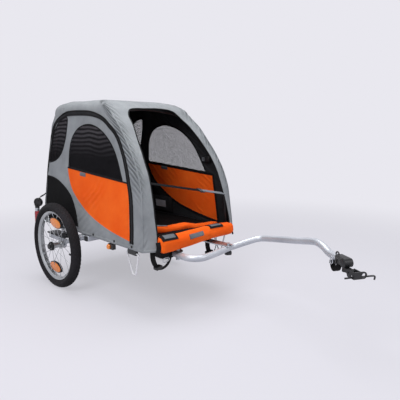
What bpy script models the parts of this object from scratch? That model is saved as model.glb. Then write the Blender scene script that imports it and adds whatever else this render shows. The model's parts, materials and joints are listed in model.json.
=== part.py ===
"""Two-wheeled bicycle trailer with a fabric cabin, sprung wheels and a cranked drawbar.

Metres, +Z up, +X forward to the hitch, +Y to the left. Every place below is measured from the wheel
axle's line, with the ground at z = 0 and the centre plane at y = 0. The last step moves the whole
trailer so that its box is centred on the origin.
"""
import math

import bmesh
import bpy
import numpy as np
from mathutils import Matrix, Vector

GAP = 0.0003
WELD = 0.001
SIDES = {"right": -1, "left": 1}

# Wheels
AXLE_Z = 0.200
TYRE_R = 0.200
TYRE_DEPTH = 0.038
TYRE_W = 0.047
WHEEL_Y = 0.315
RIM_R = TYRE_R - TYRE_DEPTH
RIM_W = 0.028
RIM_DEPTH = 0.0115
WHEEL_STEPS = 40
HUB_LENGTH = 0.060
HUB_R = 0.013
FLANGE_R = 0.021
FLANGE_T = 0.003
FLANGE_SPACING = 0.040
SPOKE_R = 0.0012
SPOKE_COUNT = 20
AXLE_R = 0.006
AXLE_CLEARANCE = 0.0004
BUTTON_R = 0.013
BUTTON_LIP = 0.006
BUTTON_TRAVEL = 0.004
REFLECTOR_AT_R = 2 / 3 * RIM_R
REFLECTOR_SIZE = (0.036, 0.022, 0.007)

# Suspension
CROSS_TUBE_X = 0.190
ARM_PIVOT = (0.155, 0.257)
ARM_T = 0.008
ARM_H = 0.018
ARM_TAIL_X = -0.140
ARM_BAR_Z = 0.217
ARM_BOSS_R = 0.020
ARM_HUB_GAP = 0.0045
PIVOT_R = 0.006
CROSS_TUBE = 0.025
CAP_T = 0.006
CAP_LIP = 0.0015
SPRING_X = -0.060
SPRING_Y = 0.2405
SPRING_R = 0.0135
SPRING_WIRE_R = 0.0015
SPRING_CURLS = 4.5
SPRING_CURL_POINTS = 10
SEAT_T = 0.007
SEAT_LENGTH = 0.170
BRACKET_T = 0.005

# Floor frame
RAIL = 0.025
RAIL_ROUND = 0.003
FRONT_RAIL_X = 0.572
REAR_RAIL_X = -0.205
FLOOR_T = 0.004
HOOP_TUBE_R = 0.008

# Cabin cover: the side walls lean in, and the roof is a low dome
WALL = 0.003
SIDE_Y = 0.2421
SIDE_AT_Z = 0.5
SIDE_LEAN = 0.0833
HEM_Z = 0.2715
ROOF_EDGE_Z = 0.800
ROOF_RISE = 0.068
CROWN_X = 0.100
ROOF_CURVE = (3.6, 0.222)
ROOF_FRONT_CURVE = (1.5, 0.450)
REAR_CORNER_R = 0.020
REAR_EDGE = [(0.250, -0.238), (0.441, -0.226), (0.541, -0.216), (0.667, -0.195), (0.763, -0.190),
             (0.800, -0.136)]
FRONT_EDGE = [(0.250, 0.588), (0.350, 0.584), (0.421, 0.578), (0.482, 0.571), (0.558, 0.546),
              (0.628, 0.505), (0.699, 0.450), (0.765, 0.391), (0.800, 0.334)]
MOUTH_X = [(0.250, 0.622), (0.350, 0.611), (0.421, 0.594), (0.482, 0.575), (0.558, 0.550),
           (0.628, 0.508), (0.699, 0.453), (0.765, 0.394), (0.800, 0.337)]
MOUTH_Y = [(0.250, 0.212), (0.400, 0.206), (0.500, 0.198), (0.600, 0.190), (0.700, 0.172),
           (0.765, 0.152), (0.800, 0.137)]
MOUTH_BOTTOM_Z = 0.282
MOUTH_TOP_Z = 0.826
MOUTH_TOP_Y = 0.100
MOUTH_SET_IN = 0.002
PANEL_GAP = 0.0004
GUARD_PROUD = 0.0020

# Side wall pieces, outlines as (x, z) on the wall
SIDE_PANEL = [(-0.003, 0.559), (0.483, 0.527), (0.504, 0.301), (0.425, 0.311), (0.321, 0.329),
              (0.208, 0.360), (0.122, 0.405), (0.042, 0.460), (0.005, 0.520)]
SIDE_WINDOW = [(0.008, 0.572), (0.012, 0.646), (0.034, 0.704), (0.088, 0.746), (0.166, 0.761),
               (0.251, 0.743), (0.317, 0.709), (0.382, 0.648), (0.438, 0.544)]
REAR_WINDOW = [(-0.012, 0.792), (-0.018, 0.736), (-0.040, 0.664), (-0.071, 0.616), (-0.118, 0.586),
               (-0.178, 0.574), (-0.162, 0.672), (-0.142, 0.722), (-0.105, 0.765), (-0.050, 0.790)]
WHEEL_GUARD = [(-0.196, 0.506), (-0.110, 0.500), (-0.025, 0.467), (0.044, 0.428), (0.086, 0.368),
               (0.108, 0.299), (-0.208, 0.299), (-0.203, 0.420)]

# Front of the cabin
COVER_X = 0.622
COVER_R = 0.021
COVER_HALF_LENGTH = 0.196
STRAP_W = 0.025
STRAP_T = 0.002
STRAP_RIGHT_Z = 0.530
STRAP_LEFT_Z = 0.452
SLIDER_AT = 0.66
SLIDER_LENGTH = 0.026
SLIDER_RIM = 0.003

# Tie-down hoops under the front of the floor
HOOP_X = (0.469, 0.551)
HOOP_Y = 0.250
HOOP_Z = 0.2555
HOOP_DROP = 0.087
HOOP_WIRE_R = 0.0036
HOOP_END = 0.014
CLIP_T = 0.014

# Reflectors and lamps
SIDE_REFLECTOR = (0.363, 0.254)
SIDE_REFLECTOR_R = 0.011
LAMP_X = -0.284
LAMP_Y = 0.266
LAMP_R = 0.0125
LAMP_Z = (0.231, 0.319)
LAMP_HOLDER_TOP = 0.408

# Drawbar
BAR_R = 0.0135
BAR_Z = 0.2425
BAR_PIVOT = (0.625, -0.1125)
CLAMP_AT = (0.704, 0.100)
CLAMP_PLATE = (0.022, 0.034, 0.014)
CLAMP_NECK = (0.012, 0.050, 0.060, 0.003)
PLATE_T = 0.004
BOLT_R = 0.004
BOLT_CLEARANCE = 0.0004
BOLT_HEAD_R = 0.008
BOLT_HEAD_T = 0.005
KNOB_R = 0.015
KNOB_T = 0.012
BAR_ROUTE = [(0.600, -0.1085, BAR_Z), (0.625, -0.1125, BAR_Z), (0.660, -0.1155, BAR_Z),
             (0.690, -0.112, BAR_Z), (0.7135, -0.096, BAR_Z), (0.7255, -0.066, BAR_Z),
             (0.722, -0.020, BAR_Z), (0.7125, 0.045, BAR_Z), (0.704, 0.100, BAR_Z),
             (0.703, 0.128, 0.244), (0.7175, 0.160, 0.252), (0.739, 0.200, 0.2625),
             (0.760, 0.230, 0.2705), (0.796, 0.238, 0.277), (0.890, 0.214, 0.2945),
             (0.985, 0.191, 0.3115), (1.050, 0.175, 0.3245), (1.085, 0.161, 0.329),
             (1.120, 0.145, 0.322), (1.150, 0.1288, 0.3105), (1.176, 0.1144, 0.3085),
             (1.202, 0.100, 0.3085)]

# Hitch, in a frame whose first axis runs on from the end of the drawbar
HITCH_AT = (1.202, 0.100, 0.3085)
HITCH_HEADING = math.radians(-29)
COUPLER_SIZE = (0.058, 0.028, 0.032)
SWIVEL_U = 0.040
SWIVEL_R = 0.011
SWIVEL_H = 0.018
FORK_U = 0.074
FORK_T = 0.003
FORK_W = 0.026
HITCH_PIN_R = 0.003
HITCH_PIN_LENGTH = 0.075
HOOK_SIZE = (0.014, 0.027)
HOOK_WIRE_R = 0.0016
HOOK_STEPS = 16
LOOP_W = 0.014

for old in list(bpy.data.objects):
    bpy.data.objects.remove(old, do_unlink=True)


# Materials

def material(name, colour, roughness, metallic=0.0, alpha=1.0):
    """A Principled material from an sRGB hex colour."""
    channels = [int(colour[i:i + 2], 16) / 255 for i in (0, 2, 4)]
    linear = [c / 12.92 if c <= 0.04045 else ((c + 0.055) / 1.055) ** 2.4 for c in channels]
    made = bpy.data.materials.new(name)
    made.use_nodes = True
    shader = made.node_tree.nodes["Principled BSDF"]
    shader.inputs["Base Color"].default_value = (*linear, 1.0)
    shader.inputs["Roughness"].default_value = roughness
    shader.inputs["Metallic"].default_value = metallic
    shader.inputs["Alpha"].default_value = alpha
    made.diffuse_color = (*linear, alpha)
    return made


ORANGE_CLOTH = material("orange_cloth", "F1602A", 0.85)
GREY_CLOTH = material("grey_cloth", "B4B7BB", 0.85)
BLACK_CLOTH = material("black_cloth", "141416", 0.9)
MESH_CLOTH = material("window_mesh", "4A4446", 0.9)
CLEAR_SHEET = material("clear_sheet", "A39CA8", 0.25, alpha=0.6)
BLACK_STEEL = material("black_steel", "1B1B1E", 0.45, 0.6)
SILVER_STEEL = material("silver_steel", "C3C7CC", 0.35, 1.0)
ALUMINIUM = material("aluminium", "B5B8BA", 0.4, 1.0)
WHITE_TUBE = material("silver_painted_tube", "DADDE4", 0.35, 0.3)
BLACK_PLASTIC = material("black_plastic", "18181A", 0.5)
RUBBER = material("rubber", "1D1B1F", 0.85)
RED_LENS = material("red_lens", "7A1420", 0.3)
AMBER_LENS = material("amber_lens", "E0702A", 0.3)
WEBBING = material("webbing", "4B4644", 0.9)


# Making objects

ROOT = bpy.data.objects.new("trailer", None)
bpy.context.scene.collection.objects.link(ROOT)


def finish(name, bm, mat, origin=(0, 0, 0), smooth_below=35):
    """Turns bm into the named object, with its origin at the given place."""
    bmesh.ops.recalc_face_normals(bm, faces=bm.faces)
    if bm.calc_volume(signed=True) < 0:
        bmesh.ops.reverse_faces(bm, faces=bm.faces)
    bmesh.ops.translate(bm, vec=-Vector(origin), verts=bm.verts)
    mesh = bpy.data.meshes.new(name)
    bm.to_mesh(mesh)
    bm.free()
    mesh.materials.append(mat)
    if smooth_below:
        mesh.shade_smooth()
        mesh.set_sharp_from_angle(angle=math.radians(smooth_below))
    obj = bpy.data.objects.new(name, mesh)
    bpy.context.scene.collection.objects.link(obj)
    obj.parent = ROOT
    obj.location = origin
    return obj


def helper(name, bm):
    """A cutter or a shape to join, which isn't a piece of the trailer."""
    obj = finish(name, bm, BLACK_STEEL, smooth_below=0)
    obj.hide_render = True
    obj.display_type = "WIRE"
    return obj


def boolean(obj, other, operation="DIFFERENCE"):
    modifier = obj.modifiers.new(operation.lower(), "BOOLEAN")
    modifier.operation = operation
    modifier.solver = "EXACT"
    modifier.object = other


def bevel(obj, width, segments=1):
    modifier = obj.modifiers.new("round", "BEVEL")
    modifier.width = width
    modifier.segments = segments
    modifier.limit_method = "ANGLE"
    modifier.angle_limit = math.radians(40)


def add_box(bm, low, high):
    low, high = Vector(low), Vector(high)
    made = bmesh.ops.create_cube(bm, size=1.0)["verts"]
    bmesh.ops.scale(bm, vec=high - low, verts=made)
    bmesh.ops.translate(bm, vec=(low + high) / 2, verts=made)
    return made


def add_prism(bm, bottom, top):
    """A closed solid between two outlines with as many points each."""
    low = [bm.verts.new(p) for p in bottom]
    high = [bm.verts.new(p) for p in top]
    bm.faces.new(low)
    bm.faces.new(reversed(high))
    for i in range(len(low)):
        j = (i + 1) % len(low)
        bm.faces.new((low[i], low[j], high[j], high[i]))
    return low + high


def add_turned(bm, profile, centre, axis, steps):
    """Revolves (radius, height) points about axis through centre. Radius 0 points close it."""
    axis = Vector(axis).normalized()
    across = axis.orthogonal().normalized()
    other = axis.cross(across)
    rings = []
    made = []
    for radius, height in profile:
        base = Vector(centre) + axis * height
        if radius == 0:
            rings.append([bm.verts.new(base)])
        else:
            turns = [2 * math.pi * i / steps for i in range(steps)]
            rings.append([bm.verts.new(base + radius * (across * math.cos(a) + other * math.sin(a)))
                          for a in turns])
        made += rings[-1]
    closed = profile[0][0] != 0
    pairs = list(zip(rings, rings[1:]))
    if closed:
        pairs.append((rings[-1], rings[0]))
    for first, second in pairs:
        for i in range(steps):
            j = (i + 1) % steps
            if len(first) == 1:
                bm.faces.new((first[0], second[i], second[j]))
            elif len(second) == 1:
                bm.faces.new((first[j], first[i], second[0]))
            else:
                bm.faces.new((first[i], second[i], second[j], first[j]))
    return made


def add_cylinder(bm, radius, start, end, steps=16):
    start, end = Vector(start), Vector(end)
    length = (end - start).length
    return add_turned(bm, [(0, 0), (radius, 0), (radius, length), (0, length)], start, end - start,
                      steps)


def add_bar(bm, path, radius, sides=8, up=None, flat=None):
    """A bar along path: round, or with flat = (width, thickness) a strip whose width lies on up."""
    path = [Vector(p) for p in path]
    rings = []
    normal = Vector(up) if up else (path[1] - path[0]).orthogonal()
    for i, point in enumerate(path):
        along = (path[min(i + 1, len(path) - 1)] - path[max(i - 1, 0)]).normalized()
        wanted = Vector(up) if up else normal
        normal = (wanted - along * wanted.dot(along)).normalized()
        side = along.cross(normal)
        if flat:
            corners = [(1, 1), (-1, 1), (-1, -1), (1, -1)]
            ring = [point + normal * (a * flat[0] / 2) + side * (b * flat[1] / 2) for a, b in corners]
        else:
            turns = [2 * math.pi * (k + 0.5) / sides for k in range(sides)]
            ring = [point + radius * (normal * math.cos(a) + side * math.sin(a)) for a in turns]
        rings.append([bm.verts.new(p) for p in ring])
    for first, second in zip(rings, rings[1:]):
        for i in range(len(first)):
            j = (i + 1) % len(first)
            bm.faces.new((first[i], first[j], second[j], second[i]))
    bm.faces.new(reversed(rings[0]))
    bm.faces.new(rings[-1])


def smooth_path(points, count):
    """Evenly spaced points on a smooth curve through the given ones."""
    knots = np.asarray(points, float)
    knots = np.vstack([2 * knots[0] - knots[1], knots, 2 * knots[-1] - knots[-2]])
    fine = []
    for a, b, c, d in zip(knots, knots[1:], knots[2:], knots[3:]):
        for t in np.linspace(0, 1, 12, endpoint=False):
            fine.append(0.5 * (2 * b + (c - a) * t + (2 * a - 5 * b + 4 * c - d) * t ** 2
                               + (3 * b - a - 3 * c + d) * t ** 3))
    fine.append(knots[-2])
    fine = np.array(fine)
    run = np.concatenate([[0], np.cumsum(np.linalg.norm(np.diff(fine, axis=0), axis=1))])
    wanted = np.linspace(0, run[-1], count)
    return [Vector([np.interp(s, run, fine[:, k]) for k in range(3)]) for s in wanted]


def rounded_path(corners, radius, steps=5):
    """The corners joined by straight runs, with each inner corner rounded."""
    corners = [Vector(p) for p in corners]
    path = [corners[0]]
    for before, corner, after in zip(corners, corners[1:], corners[2:]):
        back = (before - corner).normalized()
        on = (after - corner).normalized()
        cut = radius / math.tan(back.angle(on) / 2)
        start = corner + back * cut
        end = corner + on * cut
        for i in range(steps + 1):
            t = i / steps
            path.append(start * (1 - t) ** 2 + corner * 2 * t * (1 - t) + end * t ** 2)
    return path + [corners[-1]]


def inset(outline, distance):
    """The 2-D outline drawn in by distance on every edge."""
    points = [Vector(p) for p in outline]
    area = sum(a.x * b.y - b.x * a.y for a, b in zip(points, points[1:] + points[:1]))
    turn = 1 if area > 0 else -1
    made = []
    for i, point in enumerate(points):
        before = (point - points[i - 1]).normalized()
        after = (points[(i + 1) % len(points)] - point).normalized()
        first = Vector((-before.y, before.x)) * turn
        second = Vector((-after.y, after.x)) * turn
        mitre = (first + second).normalized()
        made.append(point + mitre * distance / max(mitre.dot(first), 0.35))
    return made


def xz_prism(bm, outline, first_y, second_y):
    """A solid with its outline in the side view, between two planes across the trailer."""
    return add_prism(bm, [(x, first_y, z) for x, z in outline], [(x, second_y, z) for x, z in outline])


def xy_prism(bm, outline, low_z, high_z):
    return add_prism(bm, [(x, y, low_z) for x, y in outline], [(x, y, high_z) for x, y in outline])


def circle(centre, radius, steps=20, start=0.0, arc=360.0):
    turns = [math.radians(start + arc * i / steps) for i in range(steps)]
    return [(centre[0] + radius * math.cos(a), centre[1] + radius * math.sin(a)) for a in turns]


# Wheels, each about its axle line

RIM_INNER_R = RIM_R - RIM_DEPTH
SPOKE_END_R = RIM_INNER_R * math.cos(math.pi / WHEEL_STEPS) - GAP
SPOKE_START_R = FLANGE_R - 0.004
SPOKE_STEP = 360 / SPOKE_COUNT
HUB_BORE_R = AXLE_R + AXLE_CLEARANCE
HUB_OUTER_Y = WHEEL_Y + HUB_LENGTH / 2
ARM_OUTER_Y = WHEEL_Y - HUB_LENGTH / 2 - ARM_HUB_GAP
ARM_INNER_Y = ARM_OUTER_Y - ARM_T
AXLE_END_Y = HUB_OUTER_Y - 0.012


def wheel_centre(side):
    return (0, SIDES[side] * WHEEL_Y, AXLE_Z)


def tyre(side):
    half = TYRE_W / 2
    section = [(0.00, 0.54), (0.14, 0.76), (0.32, 0.96), (0.58, 1.00), (0.80, 0.80), (0.94, 0.42)]
    outside = [(RIM_R + GAP + (TYRE_DEPTH - GAP) * r, half * w) for r, w in section]
    profile = outside + [(TYRE_R, 0)] + [(r, -w) for r, w in reversed(outside)]
    bm = bmesh.new()
    add_turned(bm, profile, wheel_centre(side), (0, 1, 0), WHEEL_STEPS)
    return finish(f"tyre_{side}", bm, RUBBER, wheel_centre(side), 50)


def rim(side):
    half = RIM_W / 2
    well = RIM_R - 0.4 * RIM_DEPTH
    lip = 0.1 * RIM_W
    outside = [(well, half - 2 * lip), (RIM_R, half - lip), (RIM_R, half),
               (RIM_R - 0.6 * RIM_DEPTH, half - lip), (RIM_INNER_R, half / 2)]
    profile = outside + [(r, -w) for r, w in reversed(outside)]
    bm = bmesh.new()
    add_turned(bm, profile, wheel_centre(side), (0, 1, 0), WHEEL_STEPS)
    return finish(f"rim_{side}", bm, ALUMINIUM, wheel_centre(side))


def spokes(side):
    """Straight spokes from both hub flanges to the middle of the rim, in one mesh."""
    centre = Vector(wheel_centre(side))
    bm = bmesh.new()
    for k in range(SPOKE_COUNT):
        angle = math.radians(SPOKE_STEP * (k + 0.5))
        out = Vector((math.sin(angle), 0, math.cos(angle)))
        flange = Vector((0, (FLANGE_SPACING / 2) * (1 if k % 2 else -1), 0))
        add_bar(bm, [centre + out * SPOKE_START_R + flange, centre + out * SPOKE_END_R],
                SPOKE_R, 4)
    return helper(f"spokes_{side}", bm)


def hub(side):
    half = HUB_LENGTH / 2
    near = FLANGE_SPACING / 2 - FLANGE_T / 2
    far = FLANGE_SPACING / 2 + FLANGE_T / 2
    outside = [(HUB_R, near), (FLANGE_R, near), (FLANGE_R, far), (HUB_R, far), (HUB_R, half),
               (HUB_BORE_R, half)]
    profile = outside + [(r, -w) for r, w in reversed(outside)]
    bm = bmesh.new()
    add_turned(bm, profile, wheel_centre(side), (0, 1, 0), 20)
    made = finish(f"hub_with_spokes_{side}", bm, ALUMINIUM, wheel_centre(side))
    boolean(made, spokes(side), "UNION")
    return made


def spoke_reflector(side, place):
    """An amber plate that slants from one spoke to the next, straight above or below the hub."""
    up = 1 if place == "upper" else -1
    half_angle = math.radians(SPOKE_STEP / 2)
    low_r = REFLECTOR_AT_R - REFLECTOR_SIZE[1] / 2
    high_r = REFLECTOR_AT_R + REFLECTOR_SIZE[1] / 2
    room = [(r * math.sin(half_angle) - SPOKE_R - GAP) / math.cos(half_angle) for r in (low_r, high_r)]
    low_half, high_half = [min(w, REFLECTOR_SIZE[0] / 2) for w in room]
    outline = [(-low_half, AXLE_Z + up * low_r), (low_half, AXLE_Z + up * low_r),
               (high_half, AXLE_Z + up * high_r), (-high_half, AXLE_Z + up * high_r)]
    spoke_out = (SPOKE_END_R - REFLECTOR_AT_R) / (SPOKE_END_R - SPOKE_START_R)
    slant = -up * FLANGE_SPACING * spoke_out / (low_half + high_half)
    y = SIDES[side] * WHEEL_Y
    half_t = REFLECTOR_SIZE[2] / 2
    bm = bmesh.new()
    add_prism(bm, [(x, y + slant * x - half_t, z) for x, z in outline],
              [(x, y + slant * x + half_t, z) for x, z in outline])
    made = finish(f"spoke_reflector_{side}_{place}", bm, AMBER_LENS, wheel_centre(side))
    bevel(made, 0.001)
    return made


def axle(side):
    s = SIDES[side]
    head = 0.003
    profile = [(0, -head), (ARM_BOSS_R * 0.5, -head), (ARM_BOSS_R * 0.5, 0), (AXLE_R, 0),
               (AXLE_R, AXLE_END_Y - ARM_INNER_Y + GAP), (0, AXLE_END_Y - ARM_INNER_Y + GAP)]
    bm = bmesh.new()
    add_turned(bm, profile, (0, s * (ARM_INNER_Y - GAP), AXLE_Z), (0, s, 0), 24)
    return finish(f"stub_axle_{side}", bm, SILVER_STEEL, (0, s * WHEEL_Y, AXLE_Z))


def release_button(side):
    s = SIDES[side]
    stem_start = AXLE_END_Y + BUTTON_TRAVEL + GAP
    cap_start = HUB_OUTER_Y + BUTTON_TRAVEL + GAP
    stem_r = AXLE_R - AXLE_CLEARANCE
    profile = [(0, stem_start), (stem_r, stem_start), (stem_r, cap_start), (BUTTON_R, cap_start),
               (BUTTON_R, cap_start + BUTTON_LIP * 0.6), (BUTTON_R * 0.8, cap_start + BUTTON_LIP),
               (0, cap_start + BUTTON_LIP)]
    bm = bmesh.new()
    add_turned(bm, profile, (0, 0, AXLE_Z), (0, s, 0), 24)
    return finish(f"release_button_{side}", bm, BLACK_PLASTIC, (0, s * cap_start, AXLE_Z))


# Suspension

TUBE_TOP_Z = ARM_PIVOT[1] + CROSS_TUBE / 2
RAIL_LOW_Z = TUBE_TOP_Z + GAP
RAIL_TOP_Z = RAIL_LOW_Z + RAIL


def wall_y(z):
    """How far the outside of the side wall stands from the centre plane."""
    return SIDE_Y - SIDE_LEAN * (z - SIDE_AT_Z)


RAIL_OUTER_Y = wall_y(RAIL_TOP_Z) - WALL - GAP
RAIL_INNER_Y = RAIL_OUTER_Y - RAIL
CROSS_TUBE_HALF = wall_y(HEM_Z) + 0.004
ARM_BAR_TOP = ARM_BAR_Z + ARM_H / 2
SEAT_TOP = ARM_BAR_TOP + GAP + SEAT_T
BRACKET_LOW_Z = RAIL_LOW_Z + WELD - BRACKET_T


def cross_tube():
    x, z = CROSS_TUBE_X, ARM_PIVOT[1]
    half = CROSS_TUBE / 2
    bm = bmesh.new()
    add_box(bm, (x - half, -CROSS_TUBE_HALF, z - half), (x + half, CROSS_TUBE_HALF, z + half))
    made = finish("suspension_cross_tube", bm, BLACK_STEEL, smooth_below=0)
    bevel(made, RAIL_ROUND)
    for side in SIDES:
        boolean(made, arm_bracket(side), "UNION")
        boolean(made, arm_pin(side), "UNION")
    return made


def tube_cap(side):
    s = SIDES[side]
    x, z = CROSS_TUBE_X, ARM_PIVOT[1]
    half = CROSS_TUBE / 2 - CAP_LIP
    start = CROSS_TUBE_HALF + GAP
    bm = bmesh.new()
    add_box(bm, (x - half, s * start, z - half), (x + half, s * (start + CAP_T), z + half))
    made = finish(f"cross_tube_cap_{side}", bm, BLACK_PLASTIC, smooth_below=0)
    bevel(made, 0.0015)
    return made


def arm_bracket(side):
    """The plate welded to the cross tube's flank that carries the arm's pivot pin."""
    s = SIDES[side]
    x, z = ARM_PIVOT
    back = x - PIVOT_R - 0.014
    front = CROSS_TUBE_X - CROSS_TUBE / 2 + WELD
    outline = [(front, z - CROSS_TUBE / 2 + RAIL_ROUND), (x, z - PIVOT_R - 0.006), (back, z - 0.004),
               (back, TUBE_TOP_Z - 0.001), (front, TUBE_TOP_Z - RAIL_ROUND)]
    bm = bmesh.new()
    xz_prism(bm, outline, s * (RAIL_INNER_Y + 0.006), s * (ARM_INNER_Y - GAP))
    return helper(f"arm_bracket_{side}", bm)


def arm_pin(side):
    s = SIDES[side]
    x, z = ARM_PIVOT
    length = ARM_T + 0.005
    bm = bmesh.new()
    add_turned(bm, [(0, -0.004), (PIVOT_R, -0.004), (PIVOT_R, length), (0, length)],
               (x, s * (ARM_INNER_Y - GAP), z), (0, s, 0), 24)
    return helper(f"arm_pin_{side}", bm)


def arm(side):
    """The trailing arm: a bar with a boss for the pivot pin and a larger one for the axle."""
    s = SIDES[side]
    px, pz = ARM_PIVOT
    low, high = ARM_BAR_Z - ARM_H / 2, ARM_BAR_TOP
    pivot_boss = PIVOT_R + 0.008
    inside = pivot_boss - 0.0015
    outline = [(ARM_TAIL_X, low), (0.040, low), (px + 0.003, pz - inside), (px, pz + inside),
               (0.070, high + 0.003), (0.030, high), (ARM_TAIL_X, high)]
    first, second = s * ARM_INNER_Y, s * ARM_OUTER_Y
    bm = bmesh.new()
    xz_prism(bm, outline, first, second)
    made = finish(f"trailing_arm_{side}", bm, SILVER_STEEL, (px, s * ARM_INNER_Y, pz))
    places = (((0, AXLE_Z), ARM_BOSS_R, AXLE_R), ((px, pz), pivot_boss, PIVOT_R))
    proud = 0.0008
    bosses = bmesh.new()
    holes = bmesh.new()
    for (x, z), boss_r, hole_r in places:
        add_cylinder(bosses, boss_r, (x, first + s * proud, z), (x, second + s * proud, z), 24)
        add_cylinder(holes, hole_r + AXLE_CLEARANCE, (x, first - s * 0.01, z), (x, second + s * 0.01, z),
                     20)
    boolean(made, helper(f"arm_bosses_{side}", bosses), "UNION")
    boolean(made, helper(f"arm_holes_{side}", holes))
    return made


def spring_seat(side):
    s = SIDES[side]
    x = SPRING_X - 0.6 * SEAT_LENGTH
    inner = SPRING_Y - SPRING_R - SPRING_WIRE_R - 0.003
    bm = bmesh.new()
    add_box(bm, (x, s * inner, ARM_BAR_TOP + GAP), (x + SEAT_LENGTH, s * ARM_OUTER_Y, SEAT_TOP))
    made = finish(f"spring_seat_{side}", bm, BLACK_STEEL, smooth_below=0)
    bevel(made, 0.0015)
    return made


def coil_points(side):
    """The spring's centre line: a helix whose ends run straight for one wire diameter."""
    low = SEAT_TOP + GAP + SPRING_WIRE_R
    high = BRACKET_LOW_Z - GAP - SPRING_WIRE_R
    centre = Vector((SPRING_X, SIDES[side] * SPRING_Y, 0))
    count = round(SPRING_CURLS * SPRING_CURL_POINTS)
    path = []
    for i in range(count + 1):
        turn = 2 * math.pi * i / SPRING_CURL_POINTS
        share = (i / count) ** 2 * (3 - 2 * i / count)
        height = low + (high - low) * (0.35 * share + 0.65 * i / count)
        path.append(centre + Vector((SPRING_R * math.cos(turn), SPRING_R * math.sin(turn), height)))
    for end, inner in ((0, 1), (-1, -2)):
        away = path[end] - path[inner]
        away.z = 0
        straight = path[end] + away.normalized() * 2 * SPRING_WIRE_R
        path.insert(0 if end == 0 else len(path), straight)
    return path


def least_gap(path, radius, apart):
    """The least clear distance between stretches of the wire that lie over apart points apart."""
    points = np.array(path)
    index = np.arange(len(points))
    away = np.abs(index[:, None] - index[None, :]) > apart
    distance = np.linalg.norm(points[:, None] - points[None, :], axis=2)
    return distance[away].min() - 2 * radius


def spring(side):
    path = coil_points(side)
    print(f"coil_spring_{side}: least gap between turns",
          round(1000 * least_gap(path, SPRING_WIRE_R, SPRING_CURL_POINTS // 2), 2), "mm")
    bm = bmesh.new()
    add_bar(bm, path, SPRING_WIRE_R, 6)
    top = (SPRING_X, SIDES[side] * SPRING_Y, BRACKET_LOW_Z)
    return finish(f"coil_spring_{side}", bm, SILVER_STEEL, top)


# Floor frame

def rail(name, low, high):
    bm = bmesh.new()
    add_box(bm, low, high)
    made = finish(name, bm, BLACK_STEEL, smooth_below=0)
    bevel(made, RAIL_ROUND)
    return made


REFLECTOR_FACE_Y = wall_y(HEM_Z) + 0.002


def spring_bracket(side):
    """The plate under the rail that the spring's upper end bears on."""
    s = SIDES[side]
    reach = SPRING_R + SPRING_WIRE_R + 0.002
    bm = bmesh.new()
    add_box(bm, (SPRING_X - reach, s * (SPRING_Y - reach), BRACKET_LOW_Z),
            (SPRING_X + reach, s * (SPRING_Y + reach), BRACKET_LOW_Z + BRACKET_T))
    return helper(f"spring_bracket_{side}", bm)


def hoop_clip(side):
    """The block under the rail that holds both ends of the wire hoop."""
    s = SIDES[side]
    back, front = HOOP_X
    bm = bmesh.new()
    add_box(bm, (back + HOOP_END + GAP, s * (HOOP_Y - CLIP_T / 2), HOOP_Z - CLIP_T / 2),
            (front - HOOP_END - GAP, s * (HOOP_Y + CLIP_T / 2 - 0.002), RAIL_LOW_Z + WELD))
    return helper(f"hoop_clip_{side}", bm)


def reflector_holder(side):
    """An angle bracket under the rail, with the round reflector on its outer face."""
    s = SIDES[side]
    x, z = SIDE_REFLECTOR
    step_y = RAIL_OUTER_Y - 0.001
    low = z - SIDE_REFLECTOR_R + 0.001
    shelf = RAIL_LOW_Z - 0.003
    outline = [(step_y - 0.008, low), (REFLECTOR_FACE_Y, low), (REFLECTOR_FACE_Y, shelf),
               (step_y, shelf), (step_y, RAIL_LOW_Z + WELD), (step_y - 0.008, RAIL_LOW_Z + WELD)]
    bm = bmesh.new()
    add_prism(bm, [(x - 0.008, s * a, b) for a, b in outline], [(x + 0.026, s * a, b) for a, b in outline])
    return helper(f"reflector_holder_{side}", bm)


def floor_frame():
    back = REAR_RAIL_X - RAIL / 2
    front = FRONT_RAIL_X + RAIL / 2
    for side, s in SIDES.items():
        made = rail(f"side_rail_{side}", (back, s * RAIL_INNER_Y, RAIL_LOW_Z),
                    (front, s * RAIL_OUTER_Y, RAIL_TOP_Z))
        for fitting in (spring_bracket, hoop_clip, reflector_holder):
            boolean(made, fitting(side), "UNION")
    half = RAIL_INNER_Y - GAP
    for name, x in (("front_cross_rail", FRONT_RAIL_X), ("rear_cross_rail", REAR_RAIL_X)):
        rail(name, (x - RAIL / 2, -half, RAIL_LOW_Z), (x + RAIL / 2, half, RAIL_TOP_Z))
    low = RAIL_TOP_Z + GAP
    half = ARCH_Y - HOOP_TUBE_R - 0.004
    front_half = 0.200
    outline = [(back, -half), (FRONT_RAIL_X, -half), (FLOOR_FRONT_X, -front_half),
               (FLOOR_FRONT_X, front_half), (FRONT_RAIL_X, half), (back, half)]
    bm = bmesh.new()
    xy_prism(bm, outline, low, low + FLOOR_T)
    made = finish("floor_pan", bm, BLACK_CLOTH, smooth_below=0)
    bevel(made, 0.001)


ARCH_Y = (RAIL_INNER_Y + RAIL_OUTER_Y) / 2
FLOOR_FRONT_X = 0.596
FRONT_ARCH = [(0.562, 0.000, None), (0.558, 0.014, 0.400), (0.530, 0.0115, 0.545),
              (0.470, 0.0115, 0.655), (0.381, 0.0130, 0.755), (0.309, 0.0290, 0.798),
              (0.282, 0.1000, 0.8165)]
FRONT_ARCH_TOP = (0.270, 0.826)
REAR_ARCH = [(-0.190, 0.000, None), (-0.188, 0.014, 0.420), (-0.176, 0.0145, 0.560),
             (-0.158, 0.0135, 0.680), (-0.142, 0.0130, 0.760), (-0.110, 0.0300, 0.805),
             (-0.086, 0.1000, 0.836)]
REAR_ARCH_TOP = (-0.078, 0.845)


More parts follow.
